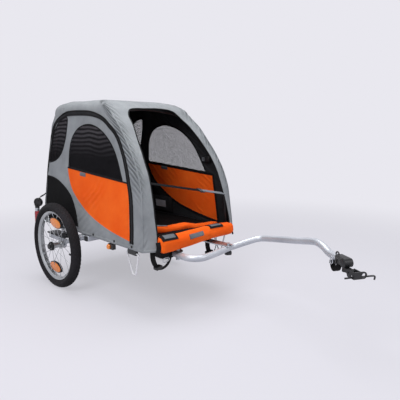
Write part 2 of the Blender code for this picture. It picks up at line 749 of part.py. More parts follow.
def arch(name, route, top, count):
    """A bent tube that stands on both side rails. Its route gives x, distance in from the wall, z."""
    half = [Vector((x, wall_y(z) - in_by, z)) if z else Vector((x, ARCH_Y, RAIL_TOP_Z + GAP))
            for x, in_by, z in route]
    other = [Vector((p.x, -p.y, p.z)) for p in reversed(half)]
    path = smooth_path(half + [Vector((top[0], 0, top[1]))] + other, count)
    path[0].z = path[-1].z = RAIL_TOP_Z + GAP
    path[1] = path[0] + Vector((0, 0, HOOP_TUBE_R))
    path[-2] = path[-1] + Vector((0, 0, HOOP_TUBE_R))
    bm = bmesh.new()
    add_bar(bm, path, HOOP_TUBE_R, 8)
    return finish(name, bm, BLACK_STEEL)


# Cabin cover

def along(table, z):
    """The value in an outline table at height z."""
    heights, values = zip(*table)
    return float(np.interp(z, heights, values))


def cover_ring(z):
    """The cover's outline at height z, round from the middle of the rear wall."""
    rear, front, mouth = along(REAR_EDGE, z), along(FRONT_EDGE, z), along(MOUTH_X, z)
    side, mouth_y = wall_y(z), along(MOUTH_Y, z)
    corner = (rear + REAR_CORNER_R, side - REAR_CORNER_R)
    turns = [math.radians(180 - 90 * i / 4) for i in range(5)]
    half = [(corner[0] + REAR_CORNER_R * math.cos(a), corner[1] + REAR_CORNER_R * math.sin(a))
            for a in turns]
    half = [(rear, side / 2)] + half + [((rear + front) / 2, side), (front, side), (mouth, mouth_y)]
    other = [(x, -y) for x, y in reversed(half)]
    return [(rear, 0)] + half + [(mouth, 0)] + other


def roof_point(edge, height):
    """The roof above a point of its edge, at a share of its rise: steep at the sides, then flat."""
    side = (1 - height ** ROOF_CURVE[0]) ** ROOF_CURVE[1]
    front = (1 - height ** ROOF_FRONT_CURVE[0]) ** ROOF_FRONT_CURVE[1]
    reach = front if edge.x > CROWN_X else side
    return Vector((CROWN_X + (edge.x - CROWN_X) * reach, edge.y * side, ROOF_EDGE_Z + ROOF_RISE * height))


def cover_levels():
    """Every ring of the cover as 3-D points: the walls, then the dome."""
    heights = [HEM_Z] + [z for z, x in FRONT_EDGE if HEM_Z < z < ROOF_EDGE_Z] + [ROOF_EDGE_Z]
    rings = [[Vector((x, y, z)) for x, y in cover_ring(z)] for z in heights]
    edge = rings[-1]
    for height in (0.20, 0.38, 0.56, 0.73, 0.87, 0.95, 0.985):
        rings.append([roof_point(p, height) for p in edge])
    return rings


def wall_piece_prism(bm, side, outline, outward, inward):
    """A solid along the side wall with the given outline, from inward of its face to outward."""
    s = SIDES[side]
    near = [(x, s * (wall_y(z) - inward), z) for x, z in outline]
    far = [(x, s * (wall_y(z) + outward), z) for x, z in outline]
    return add_prism(bm, near, far)


def mouth_outline(z_low=MOUTH_BOTTOM_Z):
    heights = [z_low] + [z for z, y in MOUTH_Y if z > z_low]
    half = [(along(MOUTH_Y, z) - MOUTH_SET_IN, z) for z in heights] + [(MOUTH_TOP_Y, MOUTH_TOP_Z)]
    return half + [(-y, z) for y, z in reversed(half)]


WALL_PIECES = {"side_panel": SIDE_PANEL, "side_window": SIDE_WINDOW, "rear_window": REAR_WINDOW,
               "wheel_guard": WHEEL_GUARD}


def canopy():
    rings = cover_levels()
    bm = bmesh.new()
    levels = [[bm.verts.new(p) for p in ring] for ring in rings]
    for low, high in zip(levels, levels[1:]):
        for i in range(len(low)):
            j = (i + 1) % len(low)
            bm.faces.new((low[i], low[j], high[j], high[i]))
    bm.faces.new(levels[-1])
    bmesh.ops.recalc_face_normals(bm, faces=bm.faces)
    top = max(bm.faces, key=lambda f: f.calc_center_median().z)
    if top.normal.z < 0:
        bmesh.ops.reverse_faces(bm, faces=bm.faces)
    mesh = bpy.data.meshes.new("canopy")
    bm.to_mesh(mesh)
    bm.free()
    mesh.materials.append(GREY_CLOTH)
    mesh.shade_smooth()
    mesh.set_sharp_from_angle(angle=math.radians(32))
    made = bpy.data.objects.new("canopy", mesh)
    bpy.context.scene.collection.objects.link(made)
    made.parent = ROOT
    shell = made.modifiers.new("cloth", "SOLIDIFY")
    shell.thickness = WALL
    shell.offset = -1
    shell.use_even_offset = True
    shell.use_rim = True
    cutter = bmesh.new()
    for side in SIDES:
        for outline in WALL_PIECES.values():
            wall_piece_prism(cutter, side, outline, 5 * WALL, 5 * WALL)
    mouth = mouth_outline()
    add_prism(cutter, [(0.250, y, z) for y, z in mouth], [(0.800, y, z) for y, z in mouth])
    boolean(made, helper("canopy_openings", cutter))
    return made


def wall_piece(kind, side):
    """One panel of a side wall, in its opening in the cover with a small gap all round."""
    looks = {"side_panel": ORANGE_CLOTH, "side_window": MESH_CLOTH, "rear_window": CLEAR_SHEET,
             "wheel_guard": BLACK_CLOTH}
    proud = GUARD_PROUD if kind == "wheel_guard" else 0
    outline = inset(WALL_PIECES[kind], PANEL_GAP)
    bm = bmesh.new()
    wall_piece_prism(bm, side, [(p.x, p.y) for p in outline], proud, WALL)
    return finish(f"{kind}_{side}", bm, looks[kind], smooth_below=0)


def rolled_cover():
    """The front cover rolled up on the sill, with the folds that its spare cloth makes."""
    centre_z = MOUTH_BOTTOM_Z + GAP + COVER_R
    stations = 13
    around = 18
    bm = bmesh.new()
    rings = []
    for i in range(stations):
        share = i / (stations - 1)
        y = -COVER_HALF_LENGTH + 2 * COVER_HALF_LENGTH * share
        sag = 1 - 0.10 * math.sin(math.pi * share) * (1 + math.cos(6 * math.pi * share)) / 2
        ring = []
        for k in range(around):
            turn = 2 * math.pi * k / around
            fold = 1 - 0.10 * (1 + math.cos(3 * turn + 1.5 * math.sin(2 * math.pi * share))) / 2
            radius = COVER_R * fold * sag
            ring.append(bm.verts.new((COVER_X + 1.15 * radius * math.cos(turn), y,
                                      max(centre_z + radius * math.sin(turn), MOUTH_BOTTOM_Z + GAP))))
        rings.append(ring)
    for first, second in zip(rings, rings[1:]):
        for k in range(around):
            j = (k + 1) % around
            bm.faces.new((first[k], first[j], second[j], second[k]))
    bm.faces.new(reversed(rings[0]))
    bm.faces.new(rings[-1])
    return finish("rolled_front_cover", bm, ORANGE_CLOTH, smooth_below=60)


def strap_end(s, z):
    """The middle of the strap's end, just inside the edge of the mouth."""
    top = z + STRAP_W / 2
    return Vector((along(MOUTH_X, z) - WALL / 2, s * (along(MOUTH_Y, top) - MOUTH_SET_IN - 2 * GAP), z))


STRAP_ENDS = (strap_end(-1, STRAP_RIGHT_Z), strap_end(1, STRAP_LEFT_Z))
STRAP_ALONG = (STRAP_ENDS[1] - STRAP_ENDS[0]).normalized()
SLIDER_PLACE = STRAP_ENDS[0].lerp(STRAP_ENDS[1], SLIDER_AT)


def cross_strap():
    """A flat strap across the mouth, cut off upright against both edges."""
    ends = [[end + Vector((a * STRAP_T / 2, 0, b * STRAP_W / 2))
             for a, b in ((1, 1), (-1, 1), (-1, -1), (1, -1))] for end in STRAP_ENDS]
    bm = bmesh.new()
    add_prism(bm, *ends)
    return finish("cross_strap", bm, WEBBING, smooth_below=0)


def strap_slider():
    """A buckle frame that the strap runs through."""
    half = STRAP_ALONG * (SLIDER_LENGTH / 2)
    bm = bmesh.new()
    add_bar(bm, [SLIDER_PLACE - half, SLIDER_PLACE + half], 0, up=(0, 0, 1),
            flat=(STRAP_W + 2 * SLIDER_RIM, STRAP_T + 2 * SLIDER_RIM))
    made = finish("strap_slider", bm, BLACK_PLASTIC, SLIDER_PLACE, 0)
    slot = bmesh.new()
    add_bar(slot, [SLIDER_PLACE - 3 * half, SLIDER_PLACE + 3 * half], 0, up=(0, 0, 1),
            flat=(STRAP_W + 6 * GAP, STRAP_T + 4 * GAP))
    boolean(made, helper("slider_slot", slot))
    return made


# Small parts of the body

def tie_hoop(side):
    """A wire loop whose two turned-in ends pivot in a clip under the side rail."""
    s = SIDES[side]
    back, front = HOOP_X
    low = HOOP_Z - HOOP_DROP
    corners = [(back + HOOP_END, HOOP_Z), (back, HOOP_Z), (back + 0.042, low), (front - 0.024, low),
               (front, HOOP_Z), (front - HOOP_END, HOOP_Z)]
    path = rounded_path([(x, s * HOOP_Y, z) for x, z in corners], 0.007, 4)
    bm = bmesh.new()
    add_bar(bm, path, HOOP_WIRE_R, 8)
    return finish(f"wire_hoop_{side}", bm, SILVER_STEEL, (HOOP_X[0], s * HOOP_Y, HOOP_Z))


def side_reflector(side):
    s = SIDES[side]
    x, z = SIDE_REFLECTOR
    bm = bmesh.new()
    add_turned(bm, [(0, 0), (SIDE_REFLECTOR_R, 0), (SIDE_REFLECTOR_R, 0.004),
                    (SIDE_REFLECTOR_R - 0.0015, 0.006), (0, 0.006)],
               (x, s * (REFLECTOR_FACE_Y + GAP), z), (0, s, 0), 24)
    return finish(f"side_reflector_{side}", bm, AMBER_LENS)


def rear_lamp(side):
    """A tube lamp under its holder, which reaches over to the cover's rear corner."""
    s = SIDES[side]
    low, high = LAMP_Z
    collar = high + 0.011
    bm = bmesh.new()
    add_turned(bm, [(0, low), (LAMP_R - 0.002, low), (LAMP_R, low + 0.002), (LAMP_R, high),
                    (LAMP_R + 0.001, high), (LAMP_R + 0.001, collar), (LAMP_R - 0.001, collar),
                    (LAMP_R - 0.001, collar + 0.008), (LAMP_R + 0.001, collar + 0.012),
                    (LAMP_R + 0.001, LAMP_HOLDER_TOP - 0.006), (LAMP_R - 0.004, LAMP_HOLDER_TOP),
                    (0, LAMP_HOLDER_TOP)],
               (LAMP_X, s * LAMP_Y, 0), (0, 0, 1), 20)
    made = finish(f"rear_lamp_{side}", bm, RED_LENS)
    z = (collar + LAMP_HOLDER_TOP) / 2
    corner = Vector((along(REAR_EDGE, z) + REAR_CORNER_R, s * (wall_y(z) - REAR_CORNER_R), z))
    middle = Vector((LAMP_X, s * LAMP_Y, z))
    seat = corner + (middle - corner).normalized() * (REAR_CORNER_R + 0.0012)
    link = bmesh.new()
    add_bar(link, [middle, seat], 0.008, 10)
    boolean(made, helper(f"lamp_link_{side}", link), "UNION")
    return made


# Drawbar, its pivot and its clamp

PLATE_LOW_Z = BAR_Z + BAR_R + 2 * GAP
PLATE_TOP_Z = PLATE_LOW_Z + PLATE_T
RAIL_FRONT_X = FRONT_RAIL_X + RAIL / 2
PLATE_BACK_X = RAIL_FRONT_X - 0.009
HOLE_R = BOLT_R + BOLT_CLEARANCE
BAR_LOW_Z = BAR_Z - BAR_R


def drawbar():
    bm = bmesh.new()
    add_bar(bm, smooth_path(BAR_ROUTE, 72), BAR_R, 10)
    made = finish("drawbar", bm, WHITE_TUBE, (*BAR_PIVOT, BAR_Z))
    bores = bmesh.new()
    for x, y in (BAR_PIVOT, CLAMP_AT):
        add_cylinder(bores, HOLE_R, (x, y, BAR_Z - 2 * BAR_R), (x, y, BAR_Z + 2 * BAR_R), 12)
    boolean(made, helper("drawbar_bores", bores))
    return made


def rail_foot(name, low_y, high_y):
    """The part of a plate that stands up against the front rail's underside."""
    bm = bmesh.new()
    add_box(bm, (PLATE_BACK_X, low_y, PLATE_LOW_Z), (RAIL_FRONT_X, high_y, RAIL_LOW_Z - GAP))
    return helper(name, bm)


def pivot_plate():
    x, y = BAR_PIVOT
    half = 0.024
    round_end = circle((x, y), 0.020, 8, -80, 180)
    outline = [(PLATE_BACK_X, y - half), (x - 0.012, y - half)] + round_end + [
        (x - 0.012, y + half), (PLATE_BACK_X, y + half)]
    bm = bmesh.new()
    xy_prism(bm, outline, PLATE_LOW_Z, PLATE_TOP_Z)
    made = finish("drawbar_pivot_plate", bm, BLACK_STEEL, smooth_below=0)
    boolean(made, rail_foot("pivot_foot", y - half + 0.0005, y + half - 0.0005), "UNION")
    hole = bmesh.new()
    add_cylinder(hole, HOLE_R, (x, y, PLATE_LOW_Z - 0.01), (x, y, PLATE_TOP_Z + 0.01), 16)
    boolean(made, helper("pivot_hole", hole))
    return made


def pivot_bolt():
    """A bolt from the plate's top through the drawbar, with its nut under the bar."""
    x, y = BAR_PIVOT
    head = PLATE_TOP_Z + GAP
    nut = BAR_LOW_Z - GAP
    profile = [(0, head + BOLT_HEAD_T), (BOLT_HEAD_R, head + BOLT_HEAD_T), (BOLT_HEAD_R, head),
               (BOLT_R, head), (BOLT_R, nut), (BOLT_HEAD_R, nut), (BOLT_HEAD_R, nut - 0.006),
               (0, nut - 0.006)]
    bm = bmesh.new()
    add_turned(bm, profile, (x, y, 0), (0, 0, 1), 18)
    return finish("drawbar_pivot_bolt", bm, SILVER_STEEL)


def clamp_slot():
    """The slot that the clamp bolt swings out of: a band round the drawbar's pivot."""
    reach = Vector(CLAMP_AT) - Vector(BAR_PIVOT)
    angle = math.atan2(reach.y, reach.x)
    stop = angle + (HOLE_R + GAP) / reach.length
    out = angle - 0.30
    turns = [stop + (out - stop) * i / 8 for i in range(9)]
    half = HOLE_R + 2 * BOLT_CLEARANCE
    outer = [(BAR_PIVOT[0] + (reach.length + half) * math.cos(a),
              BAR_PIVOT[1] + (reach.length + half) * math.sin(a)) for a in turns]
    inner = [(BAR_PIVOT[0] + (reach.length - half) * math.cos(a),
              BAR_PIVOT[1] + (reach.length - half) * math.sin(a)) for a in turns]
    bm = bmesh.new()
    xy_prism(bm, outer + inner[::-1], PLATE_LOW_Z - 0.01, PLATE_TOP_Z + 0.01)
    return helper("clamp_slot", bm)


def clamp_plate():
    """The plate on the left of the sill that holds the drawbar in its towing place."""
    x, y = CLAMP_AT
    front, right, left = CLAMP_PLATE
    neck, right_neck, left_neck, corner = CLAMP_NECK
    outline = [(PLATE_BACK_X, y - right), (x - right_neck, y - right), (x - neck, y - right + 2.5 * corner),
               (x + front, y - right + 4 * corner), (x + front, y + left - corner), (x - neck, y + left),
               (x - left_neck, y + left), (PLATE_BACK_X, y + left)]
    bm = bmesh.new()
    xy_prism(bm, outline, PLATE_LOW_Z, PLATE_TOP_Z)
    made = finish("drawbar_clamp_plate", bm, SILVER_STEEL, smooth_below=0)
    boolean(made, rail_foot("clamp_foot", y - right + WELD, y + left - WELD), "UNION")
    boolean(made, clamp_slot())
    return made


def clamp_bolt():
    x, y = CLAMP_AT
    head = PLATE_TOP_Z + GAP
    low = BAR_LOW_Z - KNOB_T * 0.7
    profile = [(0, head + BOLT_HEAD_T), (BOLT_HEAD_R, head + BOLT_HEAD_T), (BOLT_HEAD_R, head),
               (BOLT_R, head), (BOLT_R, low), (0, low)]
    bm = bmesh.new()
    add_turned(bm, profile, (x, y, 0), (0, 0, 1), 18)
    return finish("clamp_bolt", bm, SILVER_STEEL)


def clamp_knob():
    """A lobed knob on the clamp bolt's thread, under the drawbar."""
    x, y = CLAMP_AT
    top = BAR_LOW_Z - GAP
    lobes = 6
    outline = [(x + (KNOB_R - 0.0018 * (i % 4 == 2)) * math.cos(2 * math.pi * i / (4 * lobes)),
                y + (KNOB_R - 0.0018 * (i % 4 == 2)) * math.sin(2 * math.pi * i / (4 * lobes)))
               for i in range(4 * lobes)]
    bm = bmesh.new()
    xy_prism(bm, outline, top - KNOB_T, top)
    made = finish("clamp_knob", bm, BLACK_PLASTIC, (x, y, top), 0)
    bore = bmesh.new()
    add_cylinder(bore, HOLE_R, (x, y, BAR_LOW_Z - KNOB_T * 0.7 - GAP), (x, y, top + 0.01), 18)
    boolean(made, helper("knob_bore", bore))
    return made


# Hitch

HITCH_FRAME = Matrix.Translation(HITCH_AT) @ Matrix.Rotation(HITCH_HEADING, 4, "Z")
COUPLER_START = 2 * GAP
COUPLER_LOW = -COUPLER_SIZE[2] / 2
SWIVEL_TOP = COUPLER_LOW - GAP
SWIVEL_MID = SWIVEL_TOP - SWIVEL_H / 2
FORK_INNER = FORK_W / 2 - FORK_T
FORK_FRONT_U = FORK_U + 0.030
PIN_U = FORK_U + 0.019
PIN_W = SWIVEL_MID - 0.006
EYE_V = FORK_W / 2 + 0.010
EYE_R = 0.012
EYE_HOLE_R = 0.007


def hitch_point(u, v, w):
    return HITCH_FRAME @ Vector((u, v, w))


def hitch_piece(name, bm, mat, origin=(0, 0, 0), smooth_below=35):
    """A piece modelled in the hitch's own frame."""
    bmesh.ops.transform(bm, matrix=HITCH_FRAME, verts=bm.verts)
    return finish(name, bm, mat, hitch_point(*origin), smooth_below)


def hitch_helper(name, bm):
    bmesh.ops.transform(bm, matrix=HITCH_FRAME, verts=bm.verts)
    return helper(name, bm)


def coupler_body():
    length, width, height = COUPLER_SIZE
    bm = bmesh.new()
    add_box(bm, (COUPLER_START, -width / 2, -height / 2), (length, width / 2, height / 2))
    made = hitch_piece("coupler_body", bm, BLACK_PLASTIC, smooth_below=0)
    bevel(made, 0.005, 2)
    return made


def swivel_block():
    """The block that turns under the coupler body and carries the fork's cross pin."""
    bm = bmesh.new()
    add_cylinder(bm, SWIVEL_R, (SWIVEL_U, 0, SWIVEL_TOP), (SWIVEL_U, 0, SWIVEL_TOP - SWIVEL_H), 20)
    made = hitch_piece("swivel_block", bm, BLACK_PLASTIC, (SWIVEL_U, 0, SWIVEL_TOP))
    nose = bmesh.new()
    add_box(nose, (SWIVEL_U, GAP - FORK_INNER, SWIVEL_MID - 0.007),
            (FORK_U + 0.007, FORK_INNER - GAP, SWIVEL_MID + 0.007))
    boolean(made, hitch_helper("swivel_nose", nose), "UNION")
    pin = bmesh.new()
    half = FORK_INNER + FORK_T + 0.002
    add_cylinder(pin, HITCH_PIN_R, (FORK_U, -half, SWIVEL_MID), (FORK_U, half, SWIVEL_MID), 16)
    boolean(made, hitch_helper("swivel_pin", pin), "UNION")
    return made


def fork():
    """The U-shaped bracket for the bicycle's coupling, with an eye on its front plate."""
    low, high = SWIVEL_MID - 0.015, SWIVEL_MID + 0.010
    cheek = [(FORK_U - 0.008, SWIVEL_MID - 0.006), (FORK_U - 0.003, low), (FORK_FRONT_U, low),
             (FORK_FRONT_U, high), (FORK_U - 0.003, high), (FORK_U - 0.008, SWIVEL_MID + 0.005)]
    bm = bmesh.new()
    add_prism(bm, [(u, -FORK_W / 2, w) for u, w in cheek], [(u, -FORK_INNER, w) for u, w in cheek])
    made = hitch_piece("hitch_fork", bm, BLACK_STEEL, (FORK_U, 0, SWIVEL_MID), 0)
    other = bmesh.new()
    add_prism(other, [(u, FORK_W / 2, w) for u, w in cheek], [(u, FORK_INNER, w) for u, w in cheek])
    web = bmesh.new()
    middle = (low + high) / 2
    lobe = [(EYE_V + EYE_R * math.cos(math.radians(a)), middle + EYE_R * math.sin(math.radians(a)))
            for a in range(-80, 81, 20)]
    front = [(-FORK_W / 2 + 0.0005, low + 0.0005), (FORK_W / 2, low + 0.0005)] + lobe + [
        (FORK_W / 2, high - 0.0005), (-FORK_W / 2 + 0.0005, high - 0.0005)]
    add_prism(web, [(FORK_FRONT_U - 0.001, v, w) for v, w in front],
              [(FORK_FRONT_U + FORK_T, v, w) for v, w in front])
    boolean(made, hitch_helper("fork_web", web), "UNION")
    boolean(made, hitch_helper("fork_cheek", other), "UNION")
    holes = bmesh.new()
    for u, w in ((FORK_U, SWIVEL_MID), (PIN_U, PIN_W)):
        add_cylinder(holes, HITCH_PIN_R + BOLT_CLEARANCE, (u, -FORK_W, w), (u, FORK_W, w), 16)
    add_cylinder(holes, EYE_HOLE_R, (FORK_FRONT_U - 0.010, EYE_V, middle),
                 (FORK_FRONT_U + 0.010, EYE_V, middle), 16)
    boolean(made, hitch_helper("fork_holes", holes))
    return made


def hitch_pin():
    """The cross pin that drops through the fork, with one end bent down as its handle."""
    start = -FORK_W / 2 - 0.004
    end = start + HITCH_PIN_LENGTH
    corners = [(PIN_U, start, PIN_W), (PIN_U, end, PIN_W), (PIN_U, end, PIN_W - 0.016)]
    bm = bmesh.new()
    add_bar(bm, rounded_path(corners, 0.006, 4), HITCH_PIN_R, 10)
    return hitch_piece("hitch_pin", bm, SILVER_STEEL, (PIN_U, 0, PIN_W))


def snap_hook():
    """A closed wire link that hangs beside the end of the drawbar."""
    across = -BAR_R - HOOK_WIRE_R - GAP
    half_wide, half_high = HOOK_SIZE[0] / 2, HOOK_SIZE[1] / 2
    centre = Vector((-0.020, across, 0.002 - half_high))
    path = []
    for i in range(HOOK_STEPS + 1):
        turn = 2 * math.pi * i / HOOK_STEPS
        wide = half_wide * (1 + 0.25 * math.cos(turn))
        path.append(centre + Vector((wide * math.sin(turn), 0, -half_high * math.cos(turn))))
    path[-1] += Vector((-2.6 * HOOK_WIRE_R, 0, 0.0006))
    bm = bmesh.new()
    add_bar(bm, path, HOOK_WIRE_R, 6)
    return hitch_piece("snap_hook", bm, SILVER_STEEL)


def safety_strap():
    """A webbing loop from the coupler body's side down and back up to the link's lower end."""
    across = -COUPLER_SIZE[1] / 2 - LOOP_W / 2 - GAP
    link_across = -BAR_R - HOOK_WIRE_R - GAP
    link_low = 0.002 - HOOK_SIZE[1] - HOOK_WIRE_R
    route = [(0.016, across, 0.006), (0.015, across, -0.012), (0.006, across, -0.034),
             (-0.006, across, -0.046), (-0.017, (across + link_across) / 2, -0.044),
             (-0.0215, link_across, -0.036), (-0.0215, link_across, link_low - 2 * GAP)]
    bm = bmesh.new()
    add_bar(bm, smooth_path(route, 22), 0, up=(0, 1, 0), flat=(LOOP_W, STRAP_T))
    return hitch_piece("safety_strap", bm, BLACK_CLOTH)


# Assembly

def build():
    floor_frame()
    arch("front_arch", FRONT_ARCH, FRONT_ARCH_TOP, 31)
    arch("rear_arch", REAR_ARCH, REAR_ARCH_TOP, 29)
    canopy()
    rolled_cover()
    cross_strap()
    strap_slider()
    cross_tube()
    for side in SIDES:
        for kind in WALL_PIECES:
            wall_piece(kind, side)
        tube_cap(side)
        arm(side)
        spring_seat(side)
        spring(side)
        tyre(side)
        rim(side)
        hub(side)
        axle(side)
        release_button(side)
        for place in ("upper", "lower"):
            spoke_reflector(side, place)
        tie_hoop(side)
        side_reflector(side)
        rear_lamp(side)
    drawbar()
    pivot_plate()
    pivot_bolt()
    clamp_plate()
    clamp_bolt()
    clamp_knob()
    coupler_body()
    swivel_block()
    fork()
    hitch_pin()
    safety_strap()
    snap_hook()


def centre_on_box():
    """Moves the trailer so that the box round all its pieces stands on the origin."""
    bpy.context.view_layer.update()
    graph = bpy.context.evaluated_depsgraph_get()
    corners = []
    for obj in ROOT.children:
        if not obj.hide_render:
            shape = obj.evaluated_get(graph)
            corners += [shape.matrix_world @ Vector(corner) for corner in shape.bound_box]
    spans = np.array(corners)
    middle = (spans.min(axis=0) + spans.max(axis=0)) / 2
    ROOT.location = (-middle[0], -middle[1], -spans[:, 2].min())
    print("wheel axle at x =", round(-middle[0], 4), "size", np.ptp(spans, axis=0).round(4))


build()
centre_on_box()
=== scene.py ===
"""A two-wheeled bicycle trailer with a fabric cabin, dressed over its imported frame."""
import functools
import json
import math

import bmesh
import bpy
import numpy as np
from mathutils import Matrix, Vector, noise
from mathutils.geometry import delaunay_2d_cdt


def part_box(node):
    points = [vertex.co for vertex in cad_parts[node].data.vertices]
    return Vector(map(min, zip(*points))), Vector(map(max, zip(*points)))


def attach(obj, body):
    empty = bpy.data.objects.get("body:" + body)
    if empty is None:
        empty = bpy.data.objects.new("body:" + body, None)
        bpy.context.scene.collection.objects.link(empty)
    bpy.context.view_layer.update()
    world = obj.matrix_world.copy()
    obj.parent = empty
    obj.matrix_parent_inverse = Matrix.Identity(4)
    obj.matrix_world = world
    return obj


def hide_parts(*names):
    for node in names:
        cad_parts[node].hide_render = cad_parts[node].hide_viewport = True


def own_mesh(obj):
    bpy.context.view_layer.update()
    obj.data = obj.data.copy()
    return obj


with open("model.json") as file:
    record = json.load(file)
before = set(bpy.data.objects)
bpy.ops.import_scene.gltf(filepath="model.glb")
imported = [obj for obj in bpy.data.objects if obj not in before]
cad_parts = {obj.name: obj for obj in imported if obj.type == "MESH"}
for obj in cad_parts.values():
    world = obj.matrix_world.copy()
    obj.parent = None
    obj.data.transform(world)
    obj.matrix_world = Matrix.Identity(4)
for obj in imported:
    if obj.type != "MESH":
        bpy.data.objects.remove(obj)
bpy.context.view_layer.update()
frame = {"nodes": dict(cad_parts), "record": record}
NODES = frame["nodes"]
AXLE = (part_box("tyre_right")[0].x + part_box("tyre_right")[1].x) / 2
AXLE_Z = 0.2
WHEEL_Y = 0.315
HUB_END_Y = 0.3320
TYRE_MIDDLE_R = 0.1797
TYRE_SECTION_R = 0.019
TYRE_WIDENED = 1.22
RIM_BED_R = 0.1395
REFLECTOR_R = 0.108
SIDES = {"right": -1, "left": 1}


# Colours and materials

def linear(code):
    """The linear colour for an sRGB hex code."""
    parts = [int(code[i:i + 2], 16) / 255 for i in (0, 2, 4)]
    return [c / 12.92 if c <= 0.04045 else ((c + 0.055) / 1.055) ** 2.4 for c in parts] + [1.0]


def add_node(tree, kind, settings=None, links=None):
    """Adds a node; settings name properties or sockets, links name inputs and the node or socket for each."""
    made = tree.nodes.new("ShaderNode" + kind)
    for name, value in (settings or {}).items():
        if isinstance(name, int) or name in made.inputs:
            made.inputs[name].default_value = value
        else:
            setattr(made, name, value)
    for name, source in (links or {}).items():
        tree.links.new(source.outputs[0] if hasattr(source, "outputs") else source, made.inputs[name])
    return made


def new_material(name):
    """An empty node material, its tree and its principled shader."""
    made = bpy.data.materials.new(name)
    made.use_nodes = True
    tree = made.node_tree
    return made, tree, tree.nodes["Principled BSDF"]


def set_sockets(shader, **values):
    """Sets the shader's own sockets, named in small letters."""
    for name, value in values.items():
        shader.inputs[name.replace("_", " ").title().replace("Ior", "IOR")].default_value = value


def two_tone(tree, source, low, high, first, second):
    """A colour that runs from first to second as source goes from low to high."""
    ramp = add_node(tree, "ValToRGB", {}, {"Fac": source})
    for element, position, code in zip(ramp.color_ramp.elements, (low, high), (first, second)):
        element.position = position
        element.color = linear(code)
    return ramp.outputs["Color"]


def woven(name, dark, light, thread=0.0016, rough=0.85, sheen=0.0, depth=0.5, spec=0.3, alpha=None):
    """Plain-woven polyester: two sets of threads crossing at right angles, on the cloth's own metres."""
    made, tree, shader = new_material(name)
    cloth = add_node(tree, "TexCoord").outputs["UV"]
    # A wave's scale for bands two threads apart.
    scale = 0.32 / (2 * thread)
    warp, weft = (add_node(tree, "TexWave", {"bands_direction": way, "Scale": scale, "Distortion": 0.6,
                                             "Detail": 1.0, "Detail Scale": 3.0}, {"Vector": cloth})
                  for way in "XY")
    threads = add_node(tree, "Math", {"operation": "ADD"}, {0: warp.outputs["Fac"], 1: weft.outputs["Fac"]})
    place = add_node(tree, "TexCoord").outputs["Object"]
    handled = add_node(tree, "TexNoise", {"Scale": 9.0, "Detail": 4.0, "Roughness": 0.6}, {"Vector": place})
    mixed = add_node(tree, "Math", {"operation": "MULTIPLY_ADD", 1: 0.12}, {0: threads, 2: handled})
    tree.links.new(two_tone(tree, mixed.outputs[0], 0.35, 0.85, dark, light), shader.inputs["Base Color"])
    bump = add_node(tree, "Bump", {"Strength": depth, "Distance": thread * 0.35}, {"Height": threads})
    creases = add_node(tree, "TexNoise", {"Scale": 5.5, "Detail": 2.0, "Roughness": 0.5, "Distortion": 0.8},
                       {"Vector": place})
    slow = add_node(tree, "Bump", {"Strength": 0.45, "Distance": 0.012}, {"Height": creases, "Normal": bump})
    # Puckers 25 mm apart that run aslant from the seams and fade in and out.
    pulled = add_node(tree, "TexWave", {"bands_direction": "DIAGONAL", "Scale": 17.0, "Distortion": 4.0,
                                        "Detail": 2.0, "Detail Scale": 0.5}, {"Vector": cloth})
    where = add_node(tree, "MapRange", {"From Min": 0.5, "From Max": 0.72}, {"Value": creases})
    puckers = add_node(tree, "Math", {"operation": "MULTIPLY"}, {0: pulled.outputs["Fac"], 1: where})
    soft = add_node(tree, "Bump", {"Strength": 0.8, "Distance": 0.0035}, {"Height": puckers, "Normal": slow})
    tree.links.new(soft.outputs["Normal"], shader.inputs["Normal"])
    set_sockets(shader, roughness=rough, sheen_weight=sheen, sheen_roughness=0.5, specular_ior_level=spec)
    if alpha is not None:
        holes = add_node(tree, "Math", {"operation": "GREATER_THAN", 1: alpha}, {0: threads})
        tree.links.new(holes.outputs[0], shader.inputs["Alpha"])
    return made


def own_nodes(made):
    """A cloth's tree and shader, the sockets that feed its colour and normal, and its UV map split up."""
    tree = made.node_tree
    shader = tree.nodes["Principled BSDF"]
    colour, normal = (shader.inputs[name].links[0].from_socket for name in ("Base Color", "Normal"))
    cloth = add_node(tree, "TexCoord").outputs["UV"]
    return tree, shader, colour, normal, cloth, add_node(tree, "SeparateXYZ", {}, {"Vector": cloth})


def mixed_in(tree, shader, share, base, code):
    """Mixes a second colour into the base by a share that varies over the surface."""
    mixed = add_node(tree, "Mix", {"data_type": "RGBA", 7: linear(code)}, {0: share, 6: base})
    tree.links.new(mixed.outputs[2], shader.inputs["Base Color"])


